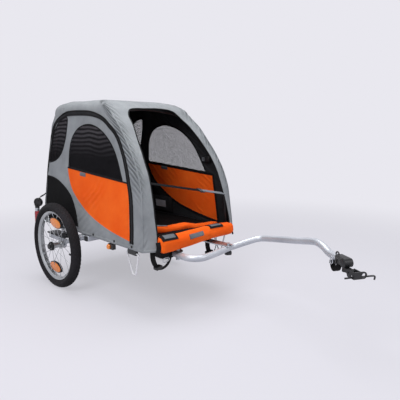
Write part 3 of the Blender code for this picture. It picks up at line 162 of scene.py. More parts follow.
def add_gathers_with_painted_shade(made, middle, reach, code):
    """Short slanting gathers 19 mm apart by the front seams, where the cloth is pulled over the arch; their
    bands are also darkened with painted shade.
    """
    tree, shader, colour, normal, _, parts = own_nodes(made)
    side = add_node(tree, "Math", {"operation": "ABSOLUTE"}, {0: parts.outputs["X"]})
    off = add_node(tree, "Math", {"operation": "SUBTRACT", 1: middle}, {0: side})
    off = add_node(tree, "Math", {"operation": "ABSOLUTE"}, {0: off})
    near = add_node(tree, "MapRange", {"From Min": reach, "From Max": reach * 0.35}, {"Value": off})
    high = add_node(tree, "MapRange", {"From Min": 0.16, "From Max": 0.30}, {"Value": parts.outputs["Y"]})
    slant = add_node(tree, "CombineXYZ", {}, {"X": side, "Y": parts.outputs["Y"]})
    lines = add_node(tree, "TexWave", {"bands_direction": "DIAGONAL", "Scale": 23.0, "Distortion": 3.0,
                                       "Detail": 1.5, "Detail Scale": 0.6}, {"Vector": slant})
    amount = add_node(tree, "Math", {"operation": "MULTIPLY"}, {0: near, 1: high})
    pull = add_node(tree, "Math", {"operation": "MULTIPLY"}, {0: lines.outputs["Fac"], 1: amount})
    bump = add_node(tree, "Bump", {"Strength": 1.0, "Distance": 0.006}, {"Height": pull, "Normal": normal})
    tree.links.new(bump.outputs["Normal"], shader.inputs["Normal"])
    # Painted shade: the gathers' bands are mixed towards a darker grey, as if shaded in their folds.
    depth = add_node(tree, "Math", {"operation": "MULTIPLY", 1: 0.42}, {0: pull})
    mixed_in(tree, shader, depth, colour, code)


def add_moire(made, code):
    """Curved pale bands, as two layers of net seen through each other make."""
    tree, shader, colour, _, cloth, parts = own_nodes(made)
    bend = add_node(tree, "MapRange", {"From Min": 0.34, "From Max": 0.46}, {"Value": parts.outputs["Y"]})
    rings = add_node(tree, "TexWave", {"bands_direction": "Y", "Scale": 17.0, "Distortion": 7.0,
                                       "Detail": 1.0, "Detail Scale": 0.35}, {"Vector": cloth})
    share = add_node(tree, "Math", {"operation": "MULTIPLY"}, {0: rings.outputs["Fac"], 1: bend})
    mixed_in(tree, shader, share, colour, code)


def coated(name, dark, light, rough, metallic=0.0, grain=60.0, depth=0.15, coat=0.0, spec=0.5):
    """A hard finish: its colour drifts a little, and fine grain breaks up its shine."""
    made, tree, shader = new_material(name)
    place = add_node(tree, "TexCoord").outputs["Object"]
    fine = add_node(tree, "TexNoise", {"Scale": grain, "Detail": 5.0, "Roughness": 0.65}, {"Vector": place})
    broad = add_node(tree, "TexNoise", {"Scale": grain / 14, "Detail": 2.0}, {"Vector": place})
    mixed = add_node(tree, "Math", {"operation": "MULTIPLY_ADD", 1: 0.4}, {0: fine, 2: broad})
    tree.links.new(two_tone(tree, mixed.outputs[0], 0.45, 1.0, dark, light), shader.inputs["Base Color"])
    dull = add_node(tree, "MapRange", {"To Min": max(0.04, rough - 0.08), "To Max": min(1.0, rough + 0.10)},
                    {"Value": fine})
    tree.links.new(dull.outputs["Result"], shader.inputs["Roughness"])
    bump = add_node(tree, "Bump", {"Strength": depth, "Distance": 0.0006}, {"Height": fine})
    tree.links.new(bump.outputs["Normal"], shader.inputs["Normal"])
    set_sockets(shader, metallic=metallic, coat_weight=coat, specular_ior_level=spec)
    return made


# Polyester oxford cloth, woven and dyed: dull, even colour; the weave is drawn at 3.2 mm so that it shows.
grey_polyester = woven("grey_polyester_oxford", "7C8084", "989CA0", sheen=0.06)
# Gathers by the front seams, with painted shade (a darker grey) in their bands.
add_gathers_with_painted_shade(grey_polyester, 0.925, 0.060, "4E5559")
orange_polyester = woven("orange_polyester_oxford", "F4580C", "FF6E1E", sheen=0.03, spec=0.12)
black_polyester = woven("black_polyester_lining", "050506", "0E0E10", spec=0.12)
# The lining inside, a charcoal cloth of the same weave.
charcoal_lining = woven("charcoal_polyester_lining", "1E1F21", "303134", spec=0.15)
# Knitted net: holes between threads, drawn at 4 mm so that it shows, and pale bands where two layers lie.
window_net = woven("black_window_net", "0C0C0E", "1C1B1F", thread=0.002, spec=0.1, alpha=0.98)
add_moire(window_net, "5E5B60")
# Nylon webbing: flat tape with a tight rib across it, drawn at 2.4 mm.
black_webbing = woven("black_nylon_webbing", "070708", "151416", thread=0.0012, spec=0.2, depth=0.8)
brown_webbing = woven("worn_nylon_webbing", "2A2221", "5C5452", thread=0.0012, sheen=0.05, depth=0.8)
grey_webbing = woven("grey_nylon_webbing", "55585E", "7C8088", thread=0.0012, sheen=0.05, depth=0.8)
# Reflective tape: grey, with a soft silver shine.
reflective_tape = woven("grey_reflective_tape", "4A4F55", "6A7077", thread=0.0015, rough=0.45, spec=0.5)
# The bare tab on the pocket: pale woven tape.
pale_label = woven("pale_woven_tape", "A2A3AC", "C2C3CB", thread=0.0012, spec=0.2)
# Powder-coated steel tube: satin black with a faint orange-peel surface.
black_powder_coat = coated("black_powder_coated_steel", "101012", "1F1F23", 0.42, grain=120, depth=0.2,
                           coat=0.1)
# Zinc-plated steel: bright grey metal, a little cloudy.
zinc_plate = coated("zinc_plated_steel", "A9AEB4", "D5D8DC", 0.34, metallic=1.0, grain=90)
# Polished and anodised rims: softer and warmer than the zinc.
satin_aluminium = coated("satin_aluminium", "A4A7A9", "CBCDCE", 0.38, metallic=1.0, grain=80, depth=0.12)
# Silver paint: pale grey with a fine metal glint under a thin clear coat.
silver_paint = coated("silver_painted_aluminium", "AFB3BB", "C6C9D0", 0.36, metallic=0.35, grain=160,
                      depth=0.08, coat=0.15)
# Moulded nylon: near black, with fine grain that dulls its shine.
black_nylon = coated("moulded_black_nylon", "0E0E10", "1D1D20", 0.48, grain=220, depth=0.25)
# Tyre rubber: dusty black, no shine.
tyre_rubber = coated("tyre_rubber", "141315", "242226", 0.82, grain=140, depth=0.5, spec=0.25)
# Moulded acrylic lenses: deep clear colour under a hard shine.
red_acrylic = coated("red_acrylic_lens", "8A0E1C", "C01C30", 0.22, depth=0.1, coat=0.4)
amber_acrylic = coated("amber_acrylic_reflector", "E07010", "FF9C1C", 0.25, depth=0.1, coat=0.4)
# Spring wire with a pale plastic coat.
pale_wire = coated("pale_coated_wire", "D4D5D9", "EAEAEE", 0.42, grain=120, depth=0.1)

BY_NODE = {"suspension_cross_tube": silver_paint, "wire_hoop_right": pale_wire, "wire_hoop_left": pale_wire,
           "trailing_arm_right": silver_paint, "trailing_arm_left": silver_paint}
CAD_FINISH = {
    "black_steel": black_powder_coat, "silver_steel": zinc_plate, "rim_aluminium": satin_aluminium,
    "silver_tube": silver_paint, "black_plastic": black_nylon, "rubber": tyre_rubber,
    "red_lens": red_acrylic, "amber_lens": amber_acrylic, "orange_cloth": orange_polyester,
    "grey_cloth": grey_polyester, "black_cloth": black_polyester, "window_mesh": window_net,
    "clear_sheet": window_net, "webbing": brown_webbing,
}
for entry in frame["record"]["subparts"]:
    plain = NODES[entry["node"]]
    plain.data.materials.clear()
    plain.data.materials.append(BY_NODE.get(entry["node"], CAD_FINISH[entry["material_slot"]]))
# The slot that stands for each finish.
SLOTS = {finish.name: slot for slot, finish in CAD_FINISH.items()}
SLOTS |= {charcoal_lining.name: "black_cloth", black_webbing.name: "black_cloth",
          grey_webbing.name: "webbing", reflective_tape.name: "grey_cloth", pale_label.name: "grey_cloth"}


# Camera, floor and light

BACKDROP = "E9E8EF"
LOOK_AT = Vector((-0.2, 0, 0.4))
LAMPS = {"key": ((0.9, -2.4, 3.0), 2.0, 70), "fill": ((2.8, 0.6, 2.4), 2.2, 22),
         "top": ((-0.3, 0.2, 3.3), 2.6, 74)}


def seen_rays(tree):
    """1 for what the camera sees, straight on or by a shiny or clear surface, and 0 for what only lights."""
    rays = add_node(tree, "LightPath")
    seen = add_node(tree, "Math", {"operation": "MAXIMUM"},
                    {0: rays.outputs["Is Camera Ray"], 1: rays.outputs["Is Glossy Ray"]})
    return add_node(tree, "Math", {"operation": "MAXIMUM"}, {0: seen, 1: rays.outputs["Is Transmission Ray"]})


def camera():
    """The camera where the photograph's stood."""
    lens = bpy.data.cameras.new("camera")
    lens.lens = 39.50
    lens.sensor_width = 36.0
    made = bpy.data.objects.new("camera", lens)
    bpy.context.scene.collection.objects.link(made)
    yaw, pitch = math.radians(135.184), math.radians(-9.483)
    look = Vector((math.cos(yaw) * math.cos(pitch), math.sin(yaw) * math.cos(pitch), math.sin(pitch)))
    made.location = (AXLE + 1.8872, -1.2429, 0.7469)
    made.rotation_euler = look.to_track_quat("-Z", "Y").to_euler()
    bpy.context.scene.camera = made


def paper_floor():
    """Pale paper: near the object it takes the shadow, far off it is as bright as the backdrop."""
    bpy.ops.mesh.primitive_plane_add(size=60, location=(0, 0, 0))
    ground = bpy.context.object
    ground.name = "floor"
    paper, tree, shader = new_material("studio_paper")
    shader.inputs["Base Color"].default_value = linear("C9C8D1")
    set_sockets(shader, roughness=0.95, specular_ior_level=0.05)
    glow = add_node(tree, "Emission", {"Color": linear(BACKDROP), "Strength": 1.0})
    place = add_node(tree, "TexCoord").outputs["Object"]
    away = add_node(tree, "VectorMath", {"operation": "LENGTH"}, {0: place})
    far = add_node(tree, "MapRange", {"From Min": 1.2, "From Max": 3.0, "To Min": 0.54, "To Max": 1.0,
                                      "interpolation_type": "SMOOTHSTEP"}, {"Value": away.outputs["Value"]})
    share = add_node(tree, "Math", {"operation": "MULTIPLY"}, {0: seen_rays(tree), 1: far})
    lit = add_node(tree, "MixShader", {}, {"Fac": share, 1: shader, 2: glow})
    tree.links.new(lit.outputs[0], tree.nodes["Material Output"].inputs["Surface"])
    ground.data.materials.append(paper)


def plain_world():
    """A plain sky that lights the object softly and shows as the backdrop."""
    world = bpy.data.worlds.new("studio")
    bpy.context.scene.world = world
    world.use_nodes = True
    sky = world.node_tree
    sky.nodes.clear()
    lit = add_node(sky, "Background", {"Color": linear("F2F2F6"), "Strength": 0.33})
    shown = add_node(sky, "Background", {"Color": linear(BACKDROP), "Strength": 1.0})
    mix = add_node(sky, "MixShader", {}, {"Fac": seen_rays(sky), 1: lit, 2: shown})
    add_node(sky, "OutputWorld", {}, {"Surface": mix})


def lamps():
    """Soft round lamps, each at its place, of its size and power."""
    for name, (place, size, power) in LAMPS.items():
        lamp = bpy.data.lights.new(name, "AREA")
        lamp.shape = "DISK"
        lamp.size = size
        lamp.energy = power
        made = bpy.data.objects.new(name, lamp)
        made.location = place
        made.rotation_euler = (LOOK_AT - Vector(place)).to_track_quat("-Z", "Y").to_euler()
        bpy.context.scene.collection.objects.link(made)


bpy.context.scene.view_settings.view_transform = "Standard"
camera()
paper_floor()
plain_world()
lamps()


# Shaping by hand: primitives, edit mode and modifiers

def only(*pieces):
    """Selects these pieces and nothing else; the first is the active one."""
    bpy.ops.object.select_all(action="DESELECT")
    for piece in pieces:
        piece.select_set(True)
    bpy.context.view_layer.objects.active = pieces[0]


def begin(kind, **how):
    """Adds one primitive with nothing else selected and goes into edit mode on it."""
    if bpy.context.object and bpy.context.object.mode != "OBJECT":
        bpy.ops.object.mode_set(mode="OBJECT")
    bpy.ops.object.select_all(action="DESELECT")
    getattr(bpy.ops.mesh, f"primitive_{kind}_add")(**how)
    made = bpy.context.object
    bpy.ops.object.transform_apply(location=True, rotation=True, scale=True)
    bpy.ops.object.mode_set(mode="EDIT")
    return made


def pick(made, chosen):
    """Selects the faces of the piece in edit mode that chosen says yes to."""
    mesh = bmesh.from_edit_mesh(made.data)
    bpy.ops.mesh.select_all(action="DESELECT")
    bpy.ops.mesh.select_mode(type="FACE")
    for face in mesh.faces:
        face.select_set(bool(chosen(face)))
    mesh.select_flush_mode()
    bmesh.update_edit_mesh(made.data)


def soften(made, width, levels=0, angle=35):
    """Leaves edit mode, rounds the edges, and adds a subdivision if the piece is soft."""
    if made.mode != "OBJECT":
        bpy.ops.object.mode_set(mode="OBJECT")
    if width:
        bevel = made.modifiers.new("edges", "BEVEL")
        bevel.width = width
        bevel.segments = 2
        bevel.limit_method = "ANGLE"
        bevel.angle_limit = math.radians(30)
    if levels:
        smooth = made.modifiers.new("smooth", "SUBSURF")
        smooth.levels = levels
        smooth.render_levels = levels
    apply_all(made)
    shade(made, angle)


def apply_all(made):
    """Applies the piece's modifiers."""
    only(made)
    for modifier in list(made.modifiers):
        bpy.ops.object.modifier_apply(modifier=modifier.name)


def shade(made, angle=35):
    """Smooth shading but for edges sharper than an angle in degrees."""
    only(made)
    bpy.ops.object.shade_smooth_by_angle(angle=math.radians(angle), keep_sharp_edges=False)


def settle(made, name, finish, body="chassis", slot=None, stands_for=()):
    """Names a finished piece, gives it its material and lets it ride on its body."""
    made.name = name
    made.data.name = name
    if finish is not None:
        made.data.materials.clear()
        made.data.materials.append(finish)
    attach(made, body)
    slot or SLOTS[finish.name]
    if stands_for:
        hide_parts(*stands_for)
    return made


def new_piece(bm, name):
    """An object from a finished bmesh."""
    mesh = bpy.data.meshes.new(name)
    bm.to_mesh(mesh)
    bm.free()
    made = bpy.data.objects.new(name, mesh)
    bpy.context.scene.collection.objects.link(made)
    return made


def at(x, y, z):
    """A place measured from the wheels' axle line."""
    return Vector((AXLE + x, y, z))


# The cover's surface

HEM_Z = 0.2715
ROOF_EDGE_Z = 0.800
ROOF_RISE = 0.068
CROWN_X = 0.100
CORNER_R = 0.020
# The rear edge, the front corner and the mouth's edge as (height, x), and the mouth's half width
REAR_EDGE = [(0.250, -0.238), (0.441, -0.226), (0.541, -0.216), (0.667, -0.195), (0.763, -0.184),
             (0.800, -0.152)]
FRONT_EDGE = [(0.250, 0.588), (0.350, 0.584), (0.421, 0.578), (0.482, 0.571), (0.558, 0.546),
              (0.628, 0.505), (0.699, 0.450), (0.765, 0.391), (0.800, 0.334)]
MOUTH_X = [(0.250, 0.622), (0.350, 0.611), (0.421, 0.594), (0.482, 0.575), (0.558, 0.550),
           (0.628, 0.508), (0.699, 0.453), (0.765, 0.394), (0.800, 0.337)]
MOUTH_Y = [(0.250, 0.212), (0.400, 0.206), (0.500, 0.198), (0.600, 0.190), (0.700, 0.172),
           (0.765, 0.152), (0.800, 0.137)]
# Outlines on the side wall as (x, z), and which of their corners stay sharp
WALL_PIECES = {
    "side_panel": [(-0.003, 0.559), (0.483, 0.527), (0.504, 0.301), (0.425, 0.311), (0.321, 0.329),
                   (0.208, 0.360), (0.122, 0.405), (0.042, 0.460), (0.005, 0.520)],
    "side_window": [(0.006, 0.5625), (0.010, 0.646), (0.034, 0.704), (0.088, 0.746), (0.166, 0.761),
                    (0.251, 0.743), (0.317, 0.709), (0.382, 0.648), (0.4405, 0.5335)],
    "rear_window": [(-0.012, 0.792), (-0.018, 0.736), (-0.040, 0.664), (-0.071, 0.616),
                    (-0.118, 0.586), (-0.178, 0.574), (-0.162, 0.672), (-0.142, 0.722),
                    (-0.105, 0.765), (-0.050, 0.790)],
    "wheel_guard": [(-0.196, 0.506), (-0.110, 0.500), (-0.025, 0.467), (0.044, 0.428), (0.086, 0.368),
                    (0.108, 0.299), (-0.208, 0.299), (-0.203, 0.420)],
}
SHARP = {"side_panel": (0, 1, 2), "side_window": (0, 8), "rear_window": (5,), "wheel_guard": (0, 5, 6)}
# The double piping's line over the side, as (x, z)
PIPING = [(0.518, 0.294), (0.508, 0.425), (0.500, 0.479), (0.475, 0.553), (0.437, 0.639), (0.388, 0.710),
          (0.335, 0.749), (0.270, 0.784), (0.180, 0.803), (0.059, 0.808), (-0.030, 0.803), (-0.110, 0.776),
          (-0.151, 0.729), (-0.170, 0.681), (-0.195, 0.577), (-0.213, 0.484), (-0.222, 0.400),
          (-0.228, 0.300)]
# Slow waves of the cloth between its seams
RELIEF = 0.0018
# The cloth's own metres: u round a ring at mid height over the rear, corner, side, front face and mouth,
# and v up from the hem over the wall and on over the roof to its crown
SPANS = [0.205, 0.031, 0.700, 0.085, 0.200]
MARKS = np.concatenate([[0], np.cumsum(SPANS)])
WALL_V = ROOF_EDGE_Z - HEM_Z
DOME_V = 0.240
TOP_V = WALL_V + DOME_V
# How far taut cloth rounds its corners off: little on the walls, more at the roof's edge, most on top
EASE_FROM_V = WALL_V - 0.06
EASE_WALL = 0.004
EASE_EDGE = 0.013
EASE_ROOF = 0.13


def along(table, z):
    """The value of a (height, value) table at z, its corners eased over 40 mm."""
    heights, values = zip(*table)
    return float(np.mean(np.interp([z - 0.02, z - 0.01, z, z + 0.01, z + 0.02], heights, values)))


def wall_y(z):
    """How far the side wall stands from the middle: it leans in a little towards the roof."""
    return 0.2421 - 0.0833 * (z - 0.5)


def ring_point(u, z):
    """The plan of the cover at height z, u metres round from the middle of the rear."""
    rear, front, mouth = along(REAR_EDGE, z), along(FRONT_EDGE, z), along(MOUTH_X, z)
    side, mouth_y = wall_y(z), along(MOUTH_Y, z)
    k = int(np.searchsorted(MARKS, u, side="right")) - 1
    k = min(max(k, 0), len(SPANS) - 1)
    t = (u - MARKS[k]) / SPANS[k]
    if k == 0:
        return rear, t * (side - CORNER_R)
    if k == 1:
        turn = math.radians(180 - 90 * t)
        return rear + CORNER_R + CORNER_R * math.cos(turn), side - CORNER_R + CORNER_R * math.sin(turn)
    if k == 2:
        return rear + CORNER_R + t * (front - rear - CORNER_R), side
    if k == 3:
        return front + t * (mouth - front), side + t * (mouth_y - side)
    return mouth, mouth_y * (1 - t)


@functools.lru_cache(maxsize=None)
def cover_point(u, v):
    """A point of the cover's left half, its roof edge and rear corners eased as taut cloth eases them."""
    if v < EASE_FROM_V and u > MARKS[2] + 0.03:
        return plain_point(u, v)
    ease = EASE_EDGE * min(1, max((v - EASE_FROM_V) / 0.05, 0)) + EASE_WALL
    ease *= min(1, (TOP_V - v) / 0.08)
    rise = min(max((v - WALL_V) / DOME_V, 0), 1)
    wide = ease + EASE_ROOF * rise * rise * (3 - 2 * rise)
    total = plain_point(u, v) * 2
    for du, dv in ((wide, 0), (-wide, 0), (wide / 2, 0), (-wide / 2, 0), (0, ease), (0, -ease)):
        # Past the middle of the rear or of the mouth, the other half's point is this half's mirrored.
        other, high = u + du, min(max(v + dv, 0), TOP_V)
        p = plain_point(abs(other) if other < MARKS[-1] else 2 * MARKS[-1] - other, high)
        total += Vector((p.x, -p.y if other < 0 or other > MARKS[-1] else p.y, p.z))
    return total / 8


def plain_point(u, v):
    """A point before that: u metres round from the middle of the rear, v metres up from the hem."""
    if v <= WALL_V:
        x, y = ring_point(u, HEM_Z + v)
        return Vector((x, y, HEM_Z + v))
    height = roof_height(v)
    x, y = ring_point(u, ROOF_EDGE_Z)
    # The roof is full and square at the sides and the rear, and slopes down to the front. The front's reach
    # is kept over 0.3 of the side's, so that the cloth never folds over itself.
    side = (1 - height ** 3.6) ** 0.222
    front = max((1 - height ** 1.5) ** 0.450, 0.3 * side)
    t = min(max((x - CROWN_X) / 0.234, 0), 1)
    reach = front + (side - front) * (1 - t) ** 2
    return Vector((CROWN_X + (x - CROWN_X) * reach, y * side, ROOF_EDGE_Z + ROOF_RISE * height))


def roof_height(v):
    """The share of the roof's rise at v, set so that rows lie evenly over its curve."""
    return float(np.interp((v - WALL_V) / DOME_V, (0, 0.08, 0.17, 0.27, 0.38, 0.50, 0.63, 0.80, 1.0),
                           (0, 0.33, 0.62, 0.80, 0.90, 0.955, 0.982, 0.9975, 1.0)))


def roof_v(z):
    """How far up the cloth a height over the roof's edge is."""
    rows = np.linspace(WALL_V, TOP_V, 400)
    return float(np.interp((z - ROOF_EDGE_Z) / ROOF_RISE, [roof_height(r) for r in rows], rows))


def wall_place(x, z):
    """(u, v) of a place (x, z) on the side wall."""
    rear, front = along(REAR_EDGE, z) + CORNER_R, along(FRONT_EDGE, z)
    return MARKS[2] + SPANS[2] * (x - rear) / (front - rear), z - HEM_Z


def front_place(y, z):
    """(u, v) of a place (y, z) on the front of the cover."""
    if z > ROOF_EDGE_Z:
        v = roof_v(z)
        best = min((abs(cover_point(u, v).y - y), u) for u in np.linspace(MARKS[3], MARKS[5], 240))
        return best[1], v
    side, mouth_y = wall_y(z), along(MOUTH_Y, z)
    if y > mouth_y:
        return MARKS[3] + SPANS[3] * (side - y) / (side - mouth_y), z - HEM_Z
    return MARKS[4] + SPANS[4] * (1 - y / mouth_y), z - HEM_Z


def side_place(x, z):
    """(u, v) of a place seen square on from the side, on the wall or just over the roof's edge."""
    if z <= ROOF_EDGE_Z:
        return wall_place(x, z)
    return wall_place(x, ROOF_EDGE_Z)[0], roof_v(z)


def cloth_relief(p):
    """How far cloth stands off its plain surface at p: slow waves between the seams."""
    return RELIEF * (noise.noise(p * 7.0) + 0.5 * noise.noise(p * 17.0 + Vector((3, 1, 7))))


def normal_at(u, v):
    """The outward direction of the cover's left half at (u, v)."""
    step = 0.003
    du = cover_point(min(u + step, MARKS[5]), v) - cover_point(max(u - step, 0), v)
    dv = cover_point(u, min(v + step, TOP_V - 0.004)) - cover_point(u, max(v - step, 0))
    out = dv.cross(du)
    return out.normalized() if out.length > 1e-9 else Vector((0, 0, 1))


def on_cloth(u, v, s, lift=0.0):
    """The place and the outward direction at (u, v) on one side of the cover, lifted off its cloth."""
    p, n = cover_point(u, v), normal_at(u, v)
    p = p + n * (lift + cloth_relief(Vector((p.x, s * p.y, p.z))))
    return at(p.x, s * p.y, p.z), Vector((n.x, s * n.y, n.z))


def smooth_loop(points, count, closed=True):
    """Evenly spaced points on a smooth curve through the given ones."""
    knots = np.asarray(points, float)
    if closed:
        knots = np.vstack([knots[-1], knots, knots[0], knots[1]])
    else:
        knots = np.vstack([2 * knots[0] - knots[1], knots, 2 * knots[-1] - knots[-2]])
    fine = []
    for a, b, c, d in zip(knots, knots[1:], knots[2:], knots[3:]):
        for t in np.linspace(0, 1, 16, endpoint=False):
            fine.append(0.5 * (2 * b + (c - a) * t + (2 * a - 5 * b + 4 * c - d) * t ** 2
                               + (3 * b - a - 3 * c + d) * t ** 3))
    fine.append(knots[-2])
    fine = np.array(fine)
    run = np.concatenate([[0], np.cumsum(np.linalg.norm(np.diff(fine, axis=0), axis=1))])
    wanted = np.linspace(0, run[-1], count + 1 if closed else count)
    out = np.stack([np.interp(wanted, run, fine[:, k]) for k in range(fine.shape[1])], axis=1)
    return out[:-1] if closed else out


def inside(places, loop):
    """For each (u, v) place: whether it lies inside the closed loop."""
    u, v = places[:, 0], places[:, 1]
    hits = np.zeros(len(places), bool)
    for (u0, v0), (u1, v1) in zip(loop, np.roll(loop, -1, axis=0)):
        if v0 != v1:
            hits ^= ((v0 > v) != (v1 > v)) & (u < (u1 - u0) * (v - v0) / (v1 - v0) + u0)
    return hits


def polygon(corners, spacing=0.008):
    """A closed outline with straight runs between its corners, as evenly spaced points."""
    out = []
    for a, b in zip(corners, corners[1:] + corners[:1]):
        a, b = np.array(a, float), np.array(b, float)
        parts = max(1, int(np.linalg.norm(b - a) / spacing))
        out += [a + (b - a) * i / parts for i in range(parts)]
    return np.array(out)


def half_mouth():
    """The edge of the mouth as (u, v), up one side and over to the middle of its top."""
    low = [(along(MOUTH_Y, z) - 0.002, z) for z in np.linspace(0.282, 0.790, 50)]
    top = [(0.1335, 0.801), (0.1270, 0.810), (0.1150, 0.8185), (0.0980, 0.8230), (0.0600, 0.8260),
           (0.0, 0.8270)]
    return smooth_loop([front_place(y, z) for y, z in low + top], 110, closed=False)


def rounded(corners, sharp):
    """An outline with every corner cut round but the sharp ones, which are given by number."""
    marked = [(c, i in sharp) for i, c in enumerate(corners)]
    for _ in range(3):
        cut = []
        for i, (c, stays) in enumerate(marked):
            if stays:
                cut.append((c, True))
                continue
            for other in (marked[i - 1][0], marked[(i + 1) % len(marked)][0]):
                cut.append(((0.75 * c[0] + 0.25 * other[0], 0.75 * c[1] + 0.25 * other[1]), False))
        marked = cut
    return [c for c, _ in marked]


OUTLINES = {kind: np.array([wall_place(x, z) for x, z in polygon(rounded(corners, SHARP[kind]))])
            for kind, corners in WALL_PIECES.items()}
MOUTH_EDGE = half_mouth()


def cover_net():
    """Triangles over the cover's left half, split exactly along every outline: {region: triangles}."""
    points, edges = [], []

    def chain(loop, closed=True):
        """Adds a line of places that the triangles keep as their edges."""
        first = len(points)
        points.extend(Vector((float(a), float(b))) for a, b in loop)
        last = len(points)
        edges.extend((i, i + 1) for i in range(first, last - 1))
        if closed:
            edges.append((last - 1, first))

    for loop in OUTLINES.values():
        chain(loop)
    chain(MOUTH_EDGE, closed=False)
    spacing = 0.011
    columns = np.concatenate([np.linspace(a, b, max(2, int(round((b - a) / spacing))), endpoint=False)
                              for a, b in zip(MARKS, MARKS[1:])] + [[MARKS[-1]]])
    rows = np.concatenate([np.linspace(0, WALL_V, 50, endpoint=False), np.linspace(WALL_V, TOP_V, 24)])
    taken = np.vstack([*OUTLINES.values(), MOUTH_EDGE])
    border = polygon([(0, 0), (MARKS[-1], 0), (MARKS[-1], TOP_V), (0, TOP_V)], spacing)
    chain(border)
    for u in columns:
        for v in rows:
            on_border = u in (0, MARKS[-1]) or v in (0, TOP_V)
            if not on_border and np.min(np.hypot(taken[:, 0] - u, taken[:, 1] - v)) > 0.45 * spacing:
                points.append(Vector((float(u), float(v))))
    verts, _, faces, *_ = delaunay_2d_cdt(points, edges, [], 0, 1e-6)
    mouth = np.vstack([MOUTH_EDGE, [(MARKS[-1] + 0.01, MOUTH_EDGE[-1][1])], [(MARKS[-1] + 0.01, -0.01)],
                       [(MOUTH_EDGE[0][0], -0.01)]])
    regions = {kind: [] for kind in [*OUTLINES, "canopy"]}
    middles = np.array([[sum(verts[i].x for i in face) / len(face), sum(verts[i].y for i in face) / len(face)]
                        for face in faces])
    open_here = inside(middles, mouth)
    within = {kind: inside(middles, loop) for kind, loop in OUTLINES.items()}
    for n, face in enumerate(faces):
        if not open_here[n]:
            kind = next((k for k in OUTLINES if within[k][n]), "canopy")
            regions[kind].append([(verts[i].x, verts[i].y) for i in face])
    return regions


def cover_sheet(name, triangles, side):
    """One sheet of the cover as a mesh with its own metres as UV; side 0 makes both halves."""
    bm = bmesh.new()
    uv = bm.loops.layers.uv.new("UVMap")
    for s in SIDES.values() if side == 0 else [side]:
        made = {}
        for face in triangles:
            corners = []
            for place in face:
                key = (round(place[0], 6), round(place[1], 6))
                if key not in made:
                    made[key] = bm.verts.new(on_cloth(*place, s)[0])
                corners.append(made[key])
            if len({id(c) for c in corners}) < 3:
                continue
            f = bm.faces.new(corners if s > 0 else corners[::-1])
            for loop, place in zip(f.loops, face if s > 0 else face[::-1]):
                loop[uv].uv = (s * place[0], place[1])
    bmesh.ops.remove_doubles(bm, verts=bm.verts, dist=0.0004)
    bmesh.ops.dissolve_degenerate(bm, edges=bm.edges, dist=0.0001)
    bmesh.ops.recalc_face_normals(bm, faces=bm.faces)
    score = sum(f.normal.dot(f.calc_center_median() - at(0.15, 0, 0.5)) * f.calc_area() for f in bm.faces)
    if score < 0:
        bmesh.ops.reverse_faces(bm, faces=bm.faces)
    return new_piece(bm, name)


def thicken(made, thickness, inner=0, offset=-1):
    """Gives a sheet its thickness; inner says how many materials further on its back's is."""
    shell = made.modifiers.new("cloth", "SOLIDIFY")
    shell.thickness = thickness
    shell.offset = offset
    shell.use_rim = True
    shell.material_offset = inner
    apply_all(made)
    shade(made, 40)


def tape(name, places, outs, width, height, finish, slot=None, body="chassis", closed=False):
    """A flat woven tape or cord along a path; outs is the way its face looks, all along or at each place."""
    bm = bmesh.new()
    uv = bm.loops.layers.uv.new("UVMap")
    places = [Vector(p) for p in places]
    count = len(places)
    outs = [outs] * count if isinstance(outs, Vector) else outs
    section = [(-0.5, 0.05), (-0.42, 0.8), (0, 1), (0.42, 0.8), (0.5, 0.05), (0.4, -0.4), (-0.4, -0.4)]
    rings, runs, run = [], [], 0.0
    for i, p in enumerate(places):
        ahead = places[(i + 1) % count] if closed or i < count - 1 else p
        behind = places[i - 1] if closed or i else p
        along_it = (ahead - behind).normalized()
        across = along_it.cross(Vector(outs[i]).normalized()).normalized()
        out = across.cross(along_it).normalized()
        rings.append([bm.verts.new(p + across * (a * width) + out * (b * height)) for a, b in section])
        runs.append(run)
        run += (ahead - p).length
    pairs = list(zip(range(count), range(1, count)))
    if closed:
        pairs.append((count - 1, 0))
    for i, j in pairs:
        for k in range(len(section)):
            m = (k + 1) % len(section)
            f = bm.faces.new((rings[i][k], rings[j][k], rings[j][m], rings[i][m]))
            end = runs[j] if j else run
            for loop, (u, step) in zip(f.loops, ((runs[i], k), (end, k), (end, k + 1), (runs[i], k + 1))):
                loop[uv].uv = (u, step / len(section) * 2 * width)
    if not closed:
        bm.faces.new(rings[0])
        bm.faces.new(rings[-1][::-1])
    bmesh.ops.recalc_face_normals(bm, faces=bm.faces)
    made = new_piece(bm, name)
    shade(made, 50)
    return settle(made, name, finish, body, slot)


def sewn(name, line, side, lift, width, height, finish, closed=False, inward=False):
    """A tape sewn on the cover along (u, v) places; side 0 follows the sign of u, as across the middle."""
    found = [on_cloth(abs(u), v, side or (1 if u >= 0 else -1), lift) for u, v in line]
    outs = [-out if inward else out for _, out in found]
    return tape(name, [spot for spot, _ in found], outs, width, height, finish, closed=closed)


def shifted(places, distance):
    """A line of (u, v) places moved sideways by a distance."""
    places = np.asarray(places)
    steps = np.gradient(places, axis=0)
    across = np.stack([-steps[:, 1], steps[:, 0]], axis=1)
    return places + distance * across / np.linalg.norm(across, axis=1)[:, None]


def roof_line(x):
    """(u, v) places straight across the roof at x, from the edge of one side to the middle."""
    ring = np.linspace(MARKS[1], MARKS[5], 160) if x > CROWN_X else np.linspace(MARKS[3], 0, 160)
    out = []
    for v in np.linspace(WALL_V + 0.010, TOP_V - 0.004, 60):
        reached = [plain_point(u, v).x for u in ring]
        passed = next((k for k, value in enumerate(reached) if (value - x) * (x - CROWN_X) > 0), None)
        if not passed:
            break
        share = (x - reached[passed - 1]) / (reached[passed] - reached[passed - 1])
        out.append((float(ring[passed - 1] + share * (ring[passed] - ring[passed - 1])), float(v)))
    return out


